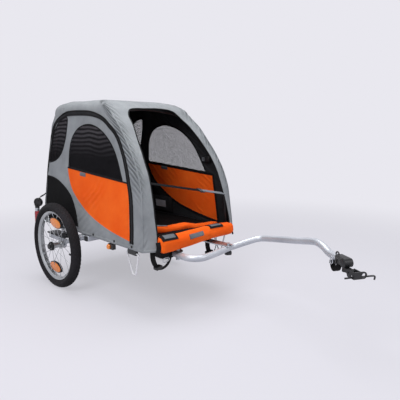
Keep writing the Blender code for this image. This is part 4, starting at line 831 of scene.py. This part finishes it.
def cover_trim():
    """What is sewn on the cloth: double piping over each side, bindings, roof seams and the hem."""
    piping = smooth_loop([side_place(x, z) for x, z in PIPING], 110, closed=False)
    for side, s in SIDES.items():
        sewn(f"piping_band_{side}", piping, s, 0.0004, 0.019, 0.0010, charcoal_lining)
        for n, shift in enumerate((-0.0075, 0.0075)):
            sewn(f"piping_cord_{side}_{n}", shifted(piping, shift), s, 0.0006, 0.0068, 0.0026, black_webbing)
        for kind, loop in OUTLINES.items():
            width = 0.0062 if kind != "side_window" else 0.0048
            # Outside, only the panel's top edge is bound: 0.486 m at 8 mm a step.
            part = kind == "side_panel"
            sewn(f"{kind}_binding_outer_{side}", loop[:61] if part else loop, s, 0.0005, width, 0.0011,
                 black_webbing, closed=not part)
            sewn(f"{kind}_binding_inner_{side}", loop, s, -0.0029, width * 2.0, 0.0011, black_webbing,
                 closed=True, inward=True)
    mouth = [*MOUTH_EDGE, *[(-u, v) for u, v in MOUTH_EDGE[-2::-1]]]
    sewn("mouth_binding", mouth, 0, -0.0012, 0.0062, 0.0022, black_webbing)
    for name, x in (("front_roof_seam", 0.262), ("rear_roof_seam", -0.060)):
        half = roof_line(x)
        sewn(name, [*half, *[(-u, v) for u, v in half[::-1]]], 0, 0.0001, 0.0110, 0.0012, grey_polyester)
    hem = [(u, 0.006) for u in np.linspace(MARKS[1], MOUTH_EDGE[0][0] - 0.004, 120)]
    for side, s in SIDES.items():
        sewn(f"hem_{side}", hem, s, 0.0002, 0.0120, 0.0012, grey_polyester)
        for name, u in (("rear", MARKS[2]), ("front", MARKS[3])):
            rise = [(u, v) for v in np.linspace(0.012, WALL_V - 0.004, 60)]
            sewn(f"{name}_corner_seam_{side}", rise, s, 0.0001, 0.0050, 0.0014, grey_polyester)


def cabin_cover():
    """The cloth shell with its lining, and the panels, windows and guards fitted into it edge to edge."""
    net = cover_net()
    canopy = cover_sheet("roof_and_wall_cloth", net["canopy"], 0)
    canopy.data.materials.append(grey_polyester)
    canopy.data.materials.append(charcoal_lining)
    thicken(canopy, 0.0024, 1)
    settle(canopy, "roof_and_wall_cloth", None, slot="grey_cloth", stands_for=["canopy"])
    looks = {"side_panel": (orange_polyester, "orange_cloth", 0.0016),
             "side_window": (window_net, "window_mesh", 0.0008),
             "rear_window": (window_net, "clear_sheet", 0.0008),
             "wheel_guard": (black_polyester, "black_cloth", 0.0012)}
    for side, s in SIDES.items():
        for kind, (finish, slot, thickness) in looks.items():
            name = f"{kind}_cloth_{side}"
            made = cover_sheet(name, net[kind], s)
            made.data.materials.append(finish)
            thicken(made, thickness)
            settle(made, name, None, slot=slot, stands_for=[f"{kind}_{side}"])


# Hard and soft pieces

def turned(rings, centre, axis=(0, 0, 1), steps=40):
    """A disc primitive drawn out in edit mode through (offset, radius) rings along an axis."""
    made = begin("circle", vertices=steps, radius=rings[0][1], fill_type="NGON", location=(0, 0, rings[0][0]))
    bpy.ops.mesh.select_all(action="SELECT")
    for (low, before), (high, after) in zip(rings, rings[1:]):
        bpy.ops.mesh.extrude_region_move(TRANSFORM_OT_translate={"value": (0, 0, high - low)})
        size = after / before
        bpy.ops.transform.resize(value=(size, size, size), center_override=(0, 0, high))
    bpy.ops.mesh.select_all(action="SELECT")
    bpy.ops.mesh.normals_make_consistent(inside=False)
    bpy.ops.object.mode_set(mode="OBJECT")
    turn = Vector((0, 0, 1)).rotation_difference(Vector(axis)).to_matrix().to_4x4()
    made.data.transform(Matrix.Translation(Vector(centre)) @ turn)
    shade(made)
    return made


def block(centre, size, edge=0.001, turn=None, press=()):
    """A cube primitive with faces pressed in or drawn out in edit mode, its edges rounded, then placed."""
    made = begin("cube", size=1, scale=size)
    for direction, inset, depth in press:
        pick(made, lambda f, d=Vector(direction): f.normal.dot(d) > 0.9)
        bpy.ops.mesh.inset(thickness=inset)
        bpy.ops.transform.translate(value=Vector(direction) * depth)
    soften(made, edge)
    made.data.transform(Matrix.Translation(Vector(centre)) @ (turn or Matrix()))
    return made


def wire(points, radius, sides=4):
    """A round wire or tube bent along a path: a curve with a round bevel and closed ends, made a mesh."""
    line = bpy.data.curves.new("wire", "CURVE")
    line.dimensions = "3D"
    line.bevel_depth = radius
    line.bevel_resolution = sides
    line.use_fill_caps = True
    run = line.splines.new("POLY")
    run.points.add(len(points) - 1)
    for spot, p in zip(run.points, points):
        spot.co = (*p, 1)
    made = bpy.data.objects.new("wire", line)
    bpy.context.scene.collection.objects.link(made)
    only(made)
    bpy.ops.object.convert(target="MESH")
    made = bpy.context.object
    shade(made, 50)
    return made


def bent(knots, count=60, closed=False):
    """Even places on a smooth path through knots measured from the axle line."""
    return [at(*p) for p in smooth_loop(knots, count, closed)]


def lofted(rings, closed=True):
    """Skin over rings of equally many places, with its metres as UV and its ends filled if it is closed."""
    def apart(a, b):
        return (Vector(b) - Vector(a)).length

    bm = bmesh.new()
    uv = bm.loops.layers.uv.new("UVMap")
    rows = [[bm.verts.new(p) for p in ring] for ring in rings]
    count = len(rows[0])
    widths = [sum(map(apart, ring, ring[1:])) / max(1, count - 1) for ring in rings]
    v = 0.0
    for i in range(len(rows) - 1):
        step = sum(map(apart, rings[i], rings[i + 1])) / count
        for k in range(count if closed else count - 1):
            m = (k + 1) % count
            f = bm.faces.new((rows[i][k], rows[i][m], rows[i + 1][m], rows[i + 1][k]))
            left, right = k * widths[i], k * widths[i] + widths[i]
            for loop, place in zip(f.loops, ((left, v), (right, v), (right, v + step), (left, v + step))):
                loop[uv].uv = place
        v += step
    if closed:
        bm.faces.new(rows[0][::-1])
        bm.faces.new(rows[-1])
    bmesh.ops.recalc_face_normals(bm, faces=bm.faces)
    return new_piece(bm, "lofted")


def copies(made, moves):
    """Copies of a piece, each with its own mesh moved by its own matrix; the first becomes one of them."""
    out = []
    for move in moves[1:]:
        other = made.copy()
        other.data = made.data.copy()
        bpy.context.scene.collection.objects.link(other)
        other.data.transform(move)
        out.append(other)
    made.data.transform(moves[0])
    return [made, *out]


def joined(parts):
    """Several pieces made one."""
    only(*parts)
    bpy.ops.object.join()
    return parts[0]


def around(centre, degrees):
    """A turn about the wheel's axle, as a matrix."""
    spin = Matrix.Rotation(math.radians(degrees), 4, "Y")
    return Matrix.Translation(centre) @ spin @ Matrix.Translation(-centre)


def tyre(side, s):
    """A moulded tyre: a torus primitive widened, with a block tread and a ridge round each side wall."""
    centre = at(0, s * WHEEL_Y, AXLE_Z)
    made = begin("torus", location=centre, rotation=(math.pi / 2, 0, 0), major_radius=TYRE_MIDDLE_R,
                 minor_radius=TYRE_SECTION_R, major_segments=120, minor_segments=20)
    bpy.ops.mesh.select_all(action="SELECT")
    bpy.ops.transform.resize(value=(1, TYRE_WIDENED, 1), center_override=centre)

    def place(face):
        """A face's distance from the axle, its step round the tyre and how far aside it is."""
        p = face.calc_center_median() - centre
        return math.hypot(p.x, p.z), int((math.degrees(math.atan2(p.z, p.x)) + 360) // 3), p.y

    def tread(face):
        """Every second face of the running surface, like a chequerboard."""
        radius, step, y = place(face)
        return radius > 0.192 and (step + int(y // 0.0068)) % 2 == 0

    def ridge(face):
        """The ring of faces on each side wall, half way up."""
        radius, _, y = place(face)
        return 0.1745 < radius < 0.1845 and abs(y) > 0.02

    pick(made, tread)
    bpy.ops.mesh.inset(thickness=0.0009, depth=0.0013, use_individual=True)
    pick(made, ridge)
    bpy.ops.mesh.inset(thickness=0.0016, depth=0.0009)
    soften(made, 0)
    settle(made, f"tyre_tread_{side}", tyre_rubber, f"wheel_{side}", stands_for=[f"tyre_{side}"])


def nipples(centre, body, side):
    """The 20 nipples that hold the spokes in the rim."""
    one = turned([(0, 0.0016), (0.004, 0.0022), (0.010, 0.0024), (0.0115, 0.0030)],
                 centre + Vector((0, 0, RIM_BED_R)), steps=10)
    spread = copies(one, [around(centre, 18 * (k + 0.5)) for k in range(20)])
    settle(joined(spread), f"nipples_{side}", zinc_plate, body)


def valve(centre, body, side):
    """The inner tube's valve with its cap, pointing at the hub from the rear of the rim."""
    made = turned([(0, 0.0036), (0.006, 0.0040), (0.008, 0.0030), (0.020, 0.0030), (0.021, 0.0042),
                   (0.029, 0.0042), (0.030, 0.0030)], (0, 0, 0), steps=16)
    out = Vector((-0.9877, 0, 0.1564))
    turn = Vector((0, 0, 1)).rotation_difference(out).to_matrix().to_4x4()
    made.data.transform(Matrix.Translation(centre - out * 0.1515) @ turn)
    settle(made, f"valve_{side}", black_nylon, body, "rubber")


def reflectors(centre, body, side, s):
    """Two spoke reflectors, amber lenses 80 mm long in black frames, set across the spokes."""
    frame_rings = [(-0.0050, 0.0190), (-0.0045, 0.0208), (0.0045, 0.0208), (0.0055, 0.0190)]
    lens_rings = [(-0.0075, 0.0160), (-0.0070, 0.0184), (0.0070, 0.0184), (0.0082, 0.0165)]
    # Drawn out 2.6 times along the rim and 1.15 times across it.
    out = Matrix.Translation(centre + Vector((0, 0, REFLECTOR_R)))
    drawn_out = out @ Matrix.Diagonal((2.6, 1.0, 1.15, 1))
    for place, degrees in (("upper", 6), ("lower", 186)):
        for name, rings, finish in (("frame", frame_rings, black_nylon), ("lens", lens_rings, amber_acrylic)):
            made = turned(rings, (0, 0, 0), (0, s, 0), 44)
            made.data.transform(around(centre, degrees) @ drawn_out)
            stands = [f"spoke_reflector_{side}_{place}"] if name == "lens" else ()
            settle(made, f"reflector_{name}_{side}_{place}", finish, body, stands_for=stands)


def wheel_fittings(side, s):
    """What turns with the wheel on its rim, spokes and hub."""
    body = f"wheel_{side}"
    centre = at(0, s * WHEEL_Y, AXLE_Z)
    nipples(centre, body, side)
    valve(centre, body, side)
    cap = turned([(0, 0.0160), (0.0055, 0.0205), (0.0125, 0.0205), (0.014, 0.0185), (0.013, 0.0146),
                  (0.0008, 0.0146)], at(0, s * HUB_END_Y, AXLE_Z), (0, s, 0))
    settle(cap, f"hub_cover_{side}", black_nylon, body)
    reflectors(centre, body, side, s)


COILS = 4.5
COIL_R = 0.0132
SPRING_FOOT = (-0.060, 0.2405, 0.2355)
SPRING_RISE = 0.0283


def suspension(side, s):
    """The coil spring between its seat and the side rail, its end turns closer than its middle ones."""
    x, y, z = SPRING_FOOT
    steps = int(COILS * 24)
    points = []
    for i in range(steps + 1):
        share = (i / steps) ** 2 * (3 - 2 * i / steps)
        lift = 0.35 * share + 0.65 * i / steps
        angle = 2 * math.pi * COILS * i / steps
        points.append(at(x + COIL_R * math.cos(angle), s * y + COIL_R * math.sin(angle),
                         z + SPRING_RISE * lift))
    made = wire(points, 0.0018, 3)
    settle(made, f"spring_coils_{side}", zinc_plate, stands_for=[f"coil_spring_{side}"])
    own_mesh(made)


def rear_lamp(side, s):
    """A rear lamp hung on a strap: red lens, silver collar and a round black head."""
    foot = at(-0.284, s * 0.268, 0)
    lens = turned([(0.2225, 0.0110), (0.2260, 0.0145), (0.2300, 0.0152), (0.3130, 0.0152), (0.3172, 0.0140)],
                  foot)
    settle(lens, f"lamp_lens_{side}", red_acrylic, stands_for=[f"rear_lamp_{side}"])
    ribs = copies(turned([(0.2400, 0.0150), (0.2410, 0.0158), (0.2440, 0.0158), (0.2450, 0.0150)], foot),
                  [Matrix.Translation((0, 0, 0.012 * k)) for k in range(6)])
    settle(joined(ribs), f"lamp_ribs_{side}", red_acrylic)
    collar = turned([(0.3165, 0.0110), (0.3180, 0.0120), (0.3340, 0.0120), (0.3355, 0.0105)], foot)
    settle(collar, f"lamp_collar_{side}", zinc_plate)
    neck = turned([(0.3345, 0.0090), (0.3360, 0.0115), (0.3480, 0.0115), (0.3500, 0.0170)], foot)
    settle(neck, f"lamp_neck_{side}", black_nylon)
    centre = foot + Vector((0.006, -s * 0.004, 0.3640))
    head = turned([(-0.0100, 0.0150), (-0.0090, 0.0200), (-0.0060, 0.0225), (0.0060, 0.0225),
                   (0.0090, 0.0205), (0.0095, 0.0160), (0.0070, 0.0150)], centre, (0.5, s * 0.86, 0))
    settle(head, f"lamp_head_{side}", black_nylon)
    hang = bent([(-0.276, s * 0.264, 0.372), (-0.262, s * 0.259, 0.392), (-0.243, s * 0.252, 0.402),
                 (-0.226, s * 0.2475, 0.412)], 14)
    tape(f"lamp_strap_{side}", hang, Vector((-0.35, s * 0.7, 0.6)), 0.016, 0.0024, black_webbing)


BAR_ROUTE = [(0.600, -0.1085, 0.2425), (0.625, -0.1125, 0.2425), (0.660, -0.1155, 0.2425),
             (0.690, -0.112, 0.2425), (0.7135, -0.096, 0.2425), (0.7255, -0.066, 0.2425),
             (0.722, -0.020, 0.2425), (0.7125, 0.045, 0.2425), (0.704, 0.100, 0.2425), (0.703, 0.128, 0.244),
             (0.7175, 0.160, 0.252), (0.739, 0.200, 0.2625), (0.760, 0.230, 0.2705), (0.796, 0.238, 0.277),
             (0.890, 0.214, 0.2945), (0.985, 0.191, 0.3115), (1.050, 0.175, 0.3245), (1.085, 0.161, 0.329),
             (1.120, 0.145, 0.322), (1.150, 0.1288, 0.3105), (1.176, 0.1144, 0.3085), (1.202, 0.100, 0.3085)]


def draw_tube():
    """The bent aluminium tube that draws the trailer, smooth all round and closed at its ends."""
    made = wire(bent(BAR_ROUTE, 130), 0.0135, 8)
    settle(made, "drawbar_tube", silver_paint, "drawbar_arm", stands_for=["drawbar"])


def running_gear():
    """The wheels with their springs, the rear lamps and the drawbar's tube."""
    for side, s in SIDES.items():
        tyre(side, s)
        wheel_fittings(side, s)
        suspension(side, s)
        rear_lamp(side, s)
    draw_tube()


def grid_piece(rows, columns, place, thickness):
    """A thin sheet over rows and columns of a surface, thickened to both sides of its face."""
    made = lofted([[place(a, b) for b in columns] for a in rows], closed=False)
    made.data.materials.append(black_polyester)
    thicken(made, thickness, offset=0)
    return made


# The rolled front cover: its two ends, its middle line, and its half size ahead and up
ROLL_NEAR, ROLL_FAR = -0.209, 0.207
ROLL_X, ROLL_Z = 0.6225, 0.2995
ROLL_AHEAD, ROLL_UP = 0.0255, 0.0335
# The turned-back fold behind it: its ends, its middle line, its half size and the height of its top
FOLD_END = 0.205
FOLD_X = 0.532
FOLD_AHEAD, FOLD_UP = 0.017, 0.0165
FOLD_TOP = ((-0.20, -0.148, -0.078, 0.009, 0.07, 0.167, 0.21),
            (0.347, 0.3500, 0.3400, 0.3425, 0.3270, 0.3250, 0.316))


def roll_place(y, degrees, lift=0.0):
    """A place on the rolled front cover at y, an angle up from its front, lifted off its cloth."""
    share = min(max((y + 0.205) / 0.408, 0), 1)
    middle, high = ROLL_Z + 0.004 * share, ROLL_UP - 0.0075 * share
    end = min(1.0, max(0.0, min(y - ROLL_NEAR, ROLL_FAR - y) / 0.016))
    full = 0.62 + 0.38 * math.sin(math.pi / 2 * end)
    turn = math.radians(degrees)
    c, d = math.cos(turn), math.sin(turn)
    # A rounded square in section, with five slow ridges that wind along it and small dents.
    swell = (abs(c) ** 2.5 + abs(d) ** 2.5) ** -0.4
    fold = 1 + 0.045 * math.cos(5 * turn + 9 * y) + 0.05 * noise.noise(Vector((c * 2, d * 2, y * 14)))
    reach = full * swell * fold
    sag = 0.0025 * math.sin(17 * y + 0.6)
    x = ROLL_X + (ROLL_AHEAD * reach + lift) * c
    return at(x, y, middle + sag + (high * reach + lift) * d)


def fold_place(y, degrees):
    """A place on the turned-back fold that lies behind the roll."""
    top = float(np.interp(y, *FOLD_TOP))
    end = min(1.0, max(0.0, min(y + FOLD_END, FOLD_END - y) / 0.015))
    full = 0.5 + 0.5 * math.sin(math.pi / 2 * end)
    turn = math.radians(degrees)
    c, d = math.cos(turn), math.sin(turn)
    ripple = 1 + 0.10 * noise.noise(Vector((c * 1.5 + 4, d * 1.5, y * 18)))
    x = FOLD_X + 0.012 * math.sin(9 * y) + FOLD_AHEAD * full * ripple * c
    return at(x, y, top - FOLD_UP + FOLD_UP * full * ripple * d)


def front_cover():
    """The front cover rolled down over the sill, its turned-back fold and the dark cloth between them."""
    stations = np.concatenate([np.linspace(ROLL_NEAR, -0.192, 7), np.linspace(-0.185, 0.183, 62),
                               np.linspace(0.190, ROLL_FAR, 7)])
    made = lofted([[roll_place(y, a) for a in np.arange(0, 360, 8)] for y in stations])
    soften(made, 0, levels=1, angle=60)
    settle(made, "front_cover_roll", orange_polyester, stands_for=["rolled_front_cover"])
    stations = np.linspace(-FOLD_END, FOLD_END, 64)
    made = lofted([[fold_place(y, a) for a in np.arange(0, 360, 12)] for y in stations])
    soften(made, 0, levels=1, angle=60)
    settle(made, "front_cover_fold", orange_polyester)

    def between(y, x):
        """A place on the dark cloth between the fold and the roll."""
        wave = 0.004 * noise.noise(Vector((x * 20, y * 16, 2.0)))
        return at(x, y, 0.3185 + wave - 0.006 * (y + 0.19) / 0.385)

    made = grid_piece(np.linspace(-0.193, 0.193, 50), np.linspace(0.518, 0.622, 14), between, 0.0016)
    settle(made, "front_cover_lining", black_polyester)
    made = grid_piece(np.linspace(-0.165, -0.085, 12), np.linspace(60, 125, 10),
                      lambda y, a: fold_place(y, a) + Vector((0, 0, 0.0012)), 0.0012)
    settle(made, "cover_patch_back", reflective_tape)
    # Black patches with grey middles, bare of any lettering.
    for name, low, high, first, last in (("near", -0.204, -0.128, 30, 100), ("middle", -0.068, 0.010, 4, 40),
                                         ("far", 0.054, 0.134, 38, 116)):
        for part, edge, lift, finish, slot in (("border", 0.0, 0.0012, black_webbing, "black_cloth"),
                                               ("face", 0.010, 0.0024, reflective_tape, "grey_cloth")):
            if name == "middle":
                edge, finish = edge * 0.2, reflective_tape
            turn = edge * 1600
            made = grid_piece(np.linspace(low + edge, high - edge, 12),
                              np.linspace(first + turn, last - turn, 12),
                              lambda y, a, lift=lift: roll_place(y, a, lift), 0.0012)
            settle(made, f"cover_patch_{part}_{name}", finish, slot=slot)


FLOOR_X = (-0.2175, 0.596)
FLOOR_Y = 0.2314
FLOOR_Z = 0.2973


def floor_lining():
    """The cabin's floor: coated black cloth, slack by a few millimetres between the frame's tubes."""
    def place(x, y):
        """A place on the floor, which is level where the tubes hold it."""
        slack = min(1, (FLOOR_Y - abs(y)) / 0.03, (x - FLOOR_X[0]) / 0.03, (FLOOR_X[1] - x) / 0.03)
        wave = 0.0025 * noise.noise(Vector((x * 9, y * 9, 5.0))) * max(0, slack)
        return at(x, y, FLOOR_Z + wave)

    made = grid_piece(np.linspace(*FLOOR_X, 80), np.linspace(-FLOOR_Y, FLOOR_Y, 46), place, 0.0036)
    settle(made, "floor_lining", black_polyester, stands_for=["floor_pan"])


def straight(a, b, count=24):
    """Even places on the straight line between two places measured from the axle line."""
    return [at(*(np.array(a) + (np.array(b) - np.array(a)) * i / (count - 1))) for i in range(count)]


def headings(places):
    """The way a path runs at each of its places."""
    return [after - before for before, after in zip([places[0], *places[:-1]], [*places[1:], places[-1]])]


def cross_straps():
    """The strap across the mouth, seen nearly edge on, and its slider."""
    left, right = (0.5567, -0.192, 0.5300), (0.5838, 0.198, 0.4520)
    out = Vector((0.32, 0.0, 0.947))
    places = straight(left, right, 60)
    black = tape("cross_strap_webbing", places, out, 0.025, 0.0014, black_polyester, "webbing")
    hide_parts("cross_strap")
    lifted = [p + out.normalized() * 0.0016 for p in places[38:]]
    tape("cross_strap_end", lifted, out, 0.0245, 0.0012, grey_webbing)
    run = (places[-1] - places[0]).normalized()
    across = run.cross(out).normalized()
    face = across.cross(run).normalized()
    turn = Matrix((face, run, across)).transposed().to_4x4()
    middle = at(0.5743, 0.0656, 0.4786)
    rim = block(middle, (0.0062, 0.026, 0.0330), 0.0012, turn,
                press=(((1, 0, 0), 0.0045, -0.0016), ((-1, 0, 0), 0.0045, -0.0016)))
    settle(rim, "slider_frame", black_nylon, "slider", stands_for=["strap_slider"])
    bar = block(middle + face * 0.0032, (0.0030, 0.0045, 0.0300), 0.0008, turn)
    settle(bar, "slider_bar", black_nylon, "slider")


def pillar_strap():
    """The strap and side-release buckle inside the far front pillar."""
    knots = [(0.513, 0.2235, 0.6060), (0.492, 0.2255, 0.6010), (0.465, 0.2265, 0.5980),
             (0.430, 0.2270, 0.5960)]
    tape("pillar_strap", bent(knots, 20), Vector((0.05, -1, 0.1)), 0.020, 0.0016, black_webbing, "webbing")
    body = block(at(0.462, 0.2215, 0.598), (0.030, 0.008, 0.026), 0.002, press=(((0, -1, 0), 0.004, 0.0015),))
    settle(body, "pillar_buckle", black_nylon)
    prong = block(at(0.437, 0.2225, 0.5965), (0.022, 0.006, 0.018), 0.0015,
                  press=(((0, -1, 0), 0.003, -0.001),))
    settle(prong, "pillar_buckle_prong", grey_webbing, slot="black_plastic")


FRONT_LOOPS = {
    "near": [(0.598, -0.221, 0.272), (0.600, -0.218, 0.235), (0.601, -0.203, 0.207), (0.601, -0.178, 0.196),
             (0.600, -0.150, 0.204), (0.599, -0.132, 0.228), (0.598, -0.126, 0.262)],
    "far": [(0.598, 0.082, 0.268), (0.600, 0.083, 0.232), (0.601, 0.093, 0.208), (0.601, 0.110, 0.201),
            (0.600, 0.127, 0.210), (0.599, 0.137, 0.234), (0.598, 0.139, 0.264)],
}
CORNER_TABS = {
    "near": ([(0.626, -0.214, 0.312), (0.631, -0.215, 0.290), (0.622, -0.214, 0.262)], (0.8, -0.6, 0.1)),
    "far": ([(0.592, 0.238, 0.306), (0.600, 0.240, 0.285), (0.606, 0.241, 0.262)], (0.8, 0.3, 0.1)),
}


def front_loops():
    """Two loops of webbing with their buckles under the front edge of the floor."""
    for name, knots in FRONT_LOOPS.items():
        places = bent(knots, 40)
        # The webbing faces out of its loop, and turns a little to the front.
        turned_in = Vector((0.7, -0.5, 0.1)) * (0.8 if name == "near" else 0.5)
        outs = [way.cross(Vector((1, 0, 0.25))).normalized() * 0.55 + turned_in for way in headings(places)]
        tape(f"front_loop_{name}", places, outs, 0.021, 0.0016, black_webbing, "webbing")
        low = min(places, key=lambda p: p.z)
        clasp = block(low + Vector((0.001, -0.020, 0.008)), (0.024, 0.030, 0.011), 0.002,
                      Matrix.Rotation(math.radians(14), 4, "X"), press=(((1, 0, 0), 0.003, 0.001),))
        settle(clasp, f"front_loop_buckle_{name}", black_nylon)


def straps():
    """All straps, buckles and tabs, and the ring on the near loop."""
    cross_straps()
    pillar_strap()
    front_loops()
    # Short tabs close the cover's lower front corners.
    for name, (knots, out) in CORNER_TABS.items():
        tape(f"corner_tab_{name}", bent(knots, 12), Vector(out), 0.019, 0.0018, black_webbing)
    ring = wire(bent([(0.612, -0.176, 0.222), (0.612, -0.152, 0.224), (0.612, -0.150, 0.236),
                      (0.612, -0.176, 0.237)], 32, True), 0.0016)
    settle(ring, "front_loop_ring", zinc_plate)


WALL_TURN = Matrix.Rotation(0.083, 4, "X")


def small_patches():
    """Grey patches at the top of the orange panels and a bare pocket on the left wall."""
    # Just under the panel's top edge, which falls to the front.
    line = [wall_place(x, 0.5385 - 0.0655 * (x - 0.115)) for x in np.linspace(0.112, 0.160, 12)]
    for side, s in SIDES.items():
        for face, lift in (("outer", 0.0006), ("inner", -0.0034)):
            sewn(f"panel_patch_{face}_{side}", line, s, lift, 0.0170, 0.0010, reflective_tape,
                 inward=face == "inner")
    pocket = block(at(0.100, 0.2440, 0.346), (0.165, 0.012, 0.078), 0.005, WALL_TURN,
                   press=(((0, -1, 0), 0.012, 0.004),))
    settle(pocket, "wall_pocket", charcoal_lining)
    label = block(at(0.104, 0.2345, 0.346), (0.080, 0.0016, 0.036), 0.0006, WALL_TURN,
                  press=(((0, -1, 0), 0.002, 0.0004),))
    settle(label, "pocket_label", pale_label)


# The hitch stands 29 degrees aside from straight ahead.
HITCH_FOOT = (1.202, 0.100, 0.3085)
AHEAD_X, AHEAD_Y = 0.8746, -0.4848
ASIDE = Vector((-AHEAD_Y, AHEAD_X, 0))
HITCH_TURN = Matrix.Rotation(math.radians(-29), 4, "Z")


def hitch_place(u, v, w):
    """A place on the hitch: u ahead along the coupler, v to its left and w up."""
    x, y, z = HITCH_FOOT
    return at(x + AHEAD_X * u - AHEAD_Y * v, y + AHEAD_Y * u + AHEAD_X * v, z + w)


def hitch():
    """The webbing arch, its snap and the coupler's screws."""
    knots = [(-0.028, -0.004, -0.020), (-0.024, -0.004, -0.036), (-0.010, -0.005, -0.046),
             (0.006, -0.006, -0.040), (0.012, -0.006, -0.020), (0.010, -0.006, 0.002)]
    places = [hitch_place(*k) for k in smooth_loop(knots, 30, False)]
    outs = [way.cross(ASIDE) for way in headings(places)]
    arch = tape("safety_webbing", places, outs, 0.022, 0.0022, black_webbing, body="drawbar_arm")
    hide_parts("safety_strap")
    snap = block(hitch_place(-0.030, 0.0, -0.022), (0.014, 0.026, 0.014), 0.0025, HITCH_TURN,
                 press=(((1, 0, 0), 0.003, 0.001), ((-1, 0, 0), 0.003, 0.001)))
    settle(snap, "snap_body", black_nylon, "drawbar_arm")
    body = block(hitch_place(0.026, 0, -0.001), (0.060, 0.028, 0.030), 0.0085, HITCH_TURN,
                 press=(((0, -1, 0), 0.004, 0.001), ((0, 1, 0), 0.004, 0.001)))
    settle(body, "coupler_shell", black_nylon, "drawbar_arm", stands_for=["coupler_body"])
    cheek = turned([(-0.0165, 0.0130), (-0.0155, 0.0150), (0.0155, 0.0150), (0.0165, 0.0130)],
                   hitch_place(0.046, 0, -0.003), ASIDE, 32)
    settle(cheek, "coupler_knuckle", black_nylon, "drawbar_arm")
    rim = wire([hitch_place(-0.002 + 0.0085 * math.cos(a), -0.004, 0.013 + 0.0085 * math.sin(a))
                for a in np.linspace(0, 2 * math.pi, 33)], 0.0026)
    settle(rim, "coupler_ring", black_powder_coat, "drawbar_arm")
    bend = [(-0.037, -0.037), (0.0, -0.037), (0.037, -0.0375), (0.066, -0.038), (0.071, -0.0385),
            (0.0745, -0.0405), (0.0755, -0.044), (0.0735, -0.052)]
    pin = wire([hitch_place(0.093, v, w) for v, w in bend], 0.0030)
    settle(pin, "pin_rod", black_powder_coat, "pin", "silver_steel", ["hitch_pin"])
    for n, u in enumerate((0.012, 0.034)):
        for side, v in (("near", -0.0140), ("far", 0.0140)):
            head = turned([(0, 0.0038), (0.0012, 0.0042), (0.0026, 0.0034), (0.0022, 0.0018)],
                          hitch_place(u, v, 0.002), ASIDE * math.copysign(1, v), 20)
            settle(head, f"coupler_screw_{side}_{n}", black_powder_coat, "drawbar_arm", "silver_steel")


SCREW_X = (-0.16, -0.04, 0.08, 0.24, 0.40, 0.52)
SCREW_Z = 0.283


def rivets():
    """Screw heads that hold the cloth and fittings on the rails."""
    for side, s in SIDES.items():
        head = turned([(0, 0.0052), (0.0010, 0.0056), (0.0024, 0.0046), (0.0028, 0.0020)],
                      (0, 0, 0), (0, s, 0), 20)
        y = s * (wall_y(SCREW_Z) + 0.0006)
        spots = [Matrix.Translation(at(x, y, SCREW_Z + 0.0005)) for x in SCREW_X]
        settle(joined(copies(head, spots)), f"hem_screws_{side}", black_nylon)


# Assembly

cabin_cover()
cover_trim()
running_gear()
front_cover()
floor_lining()
straps()
small_patches()
hitch()
rivets()
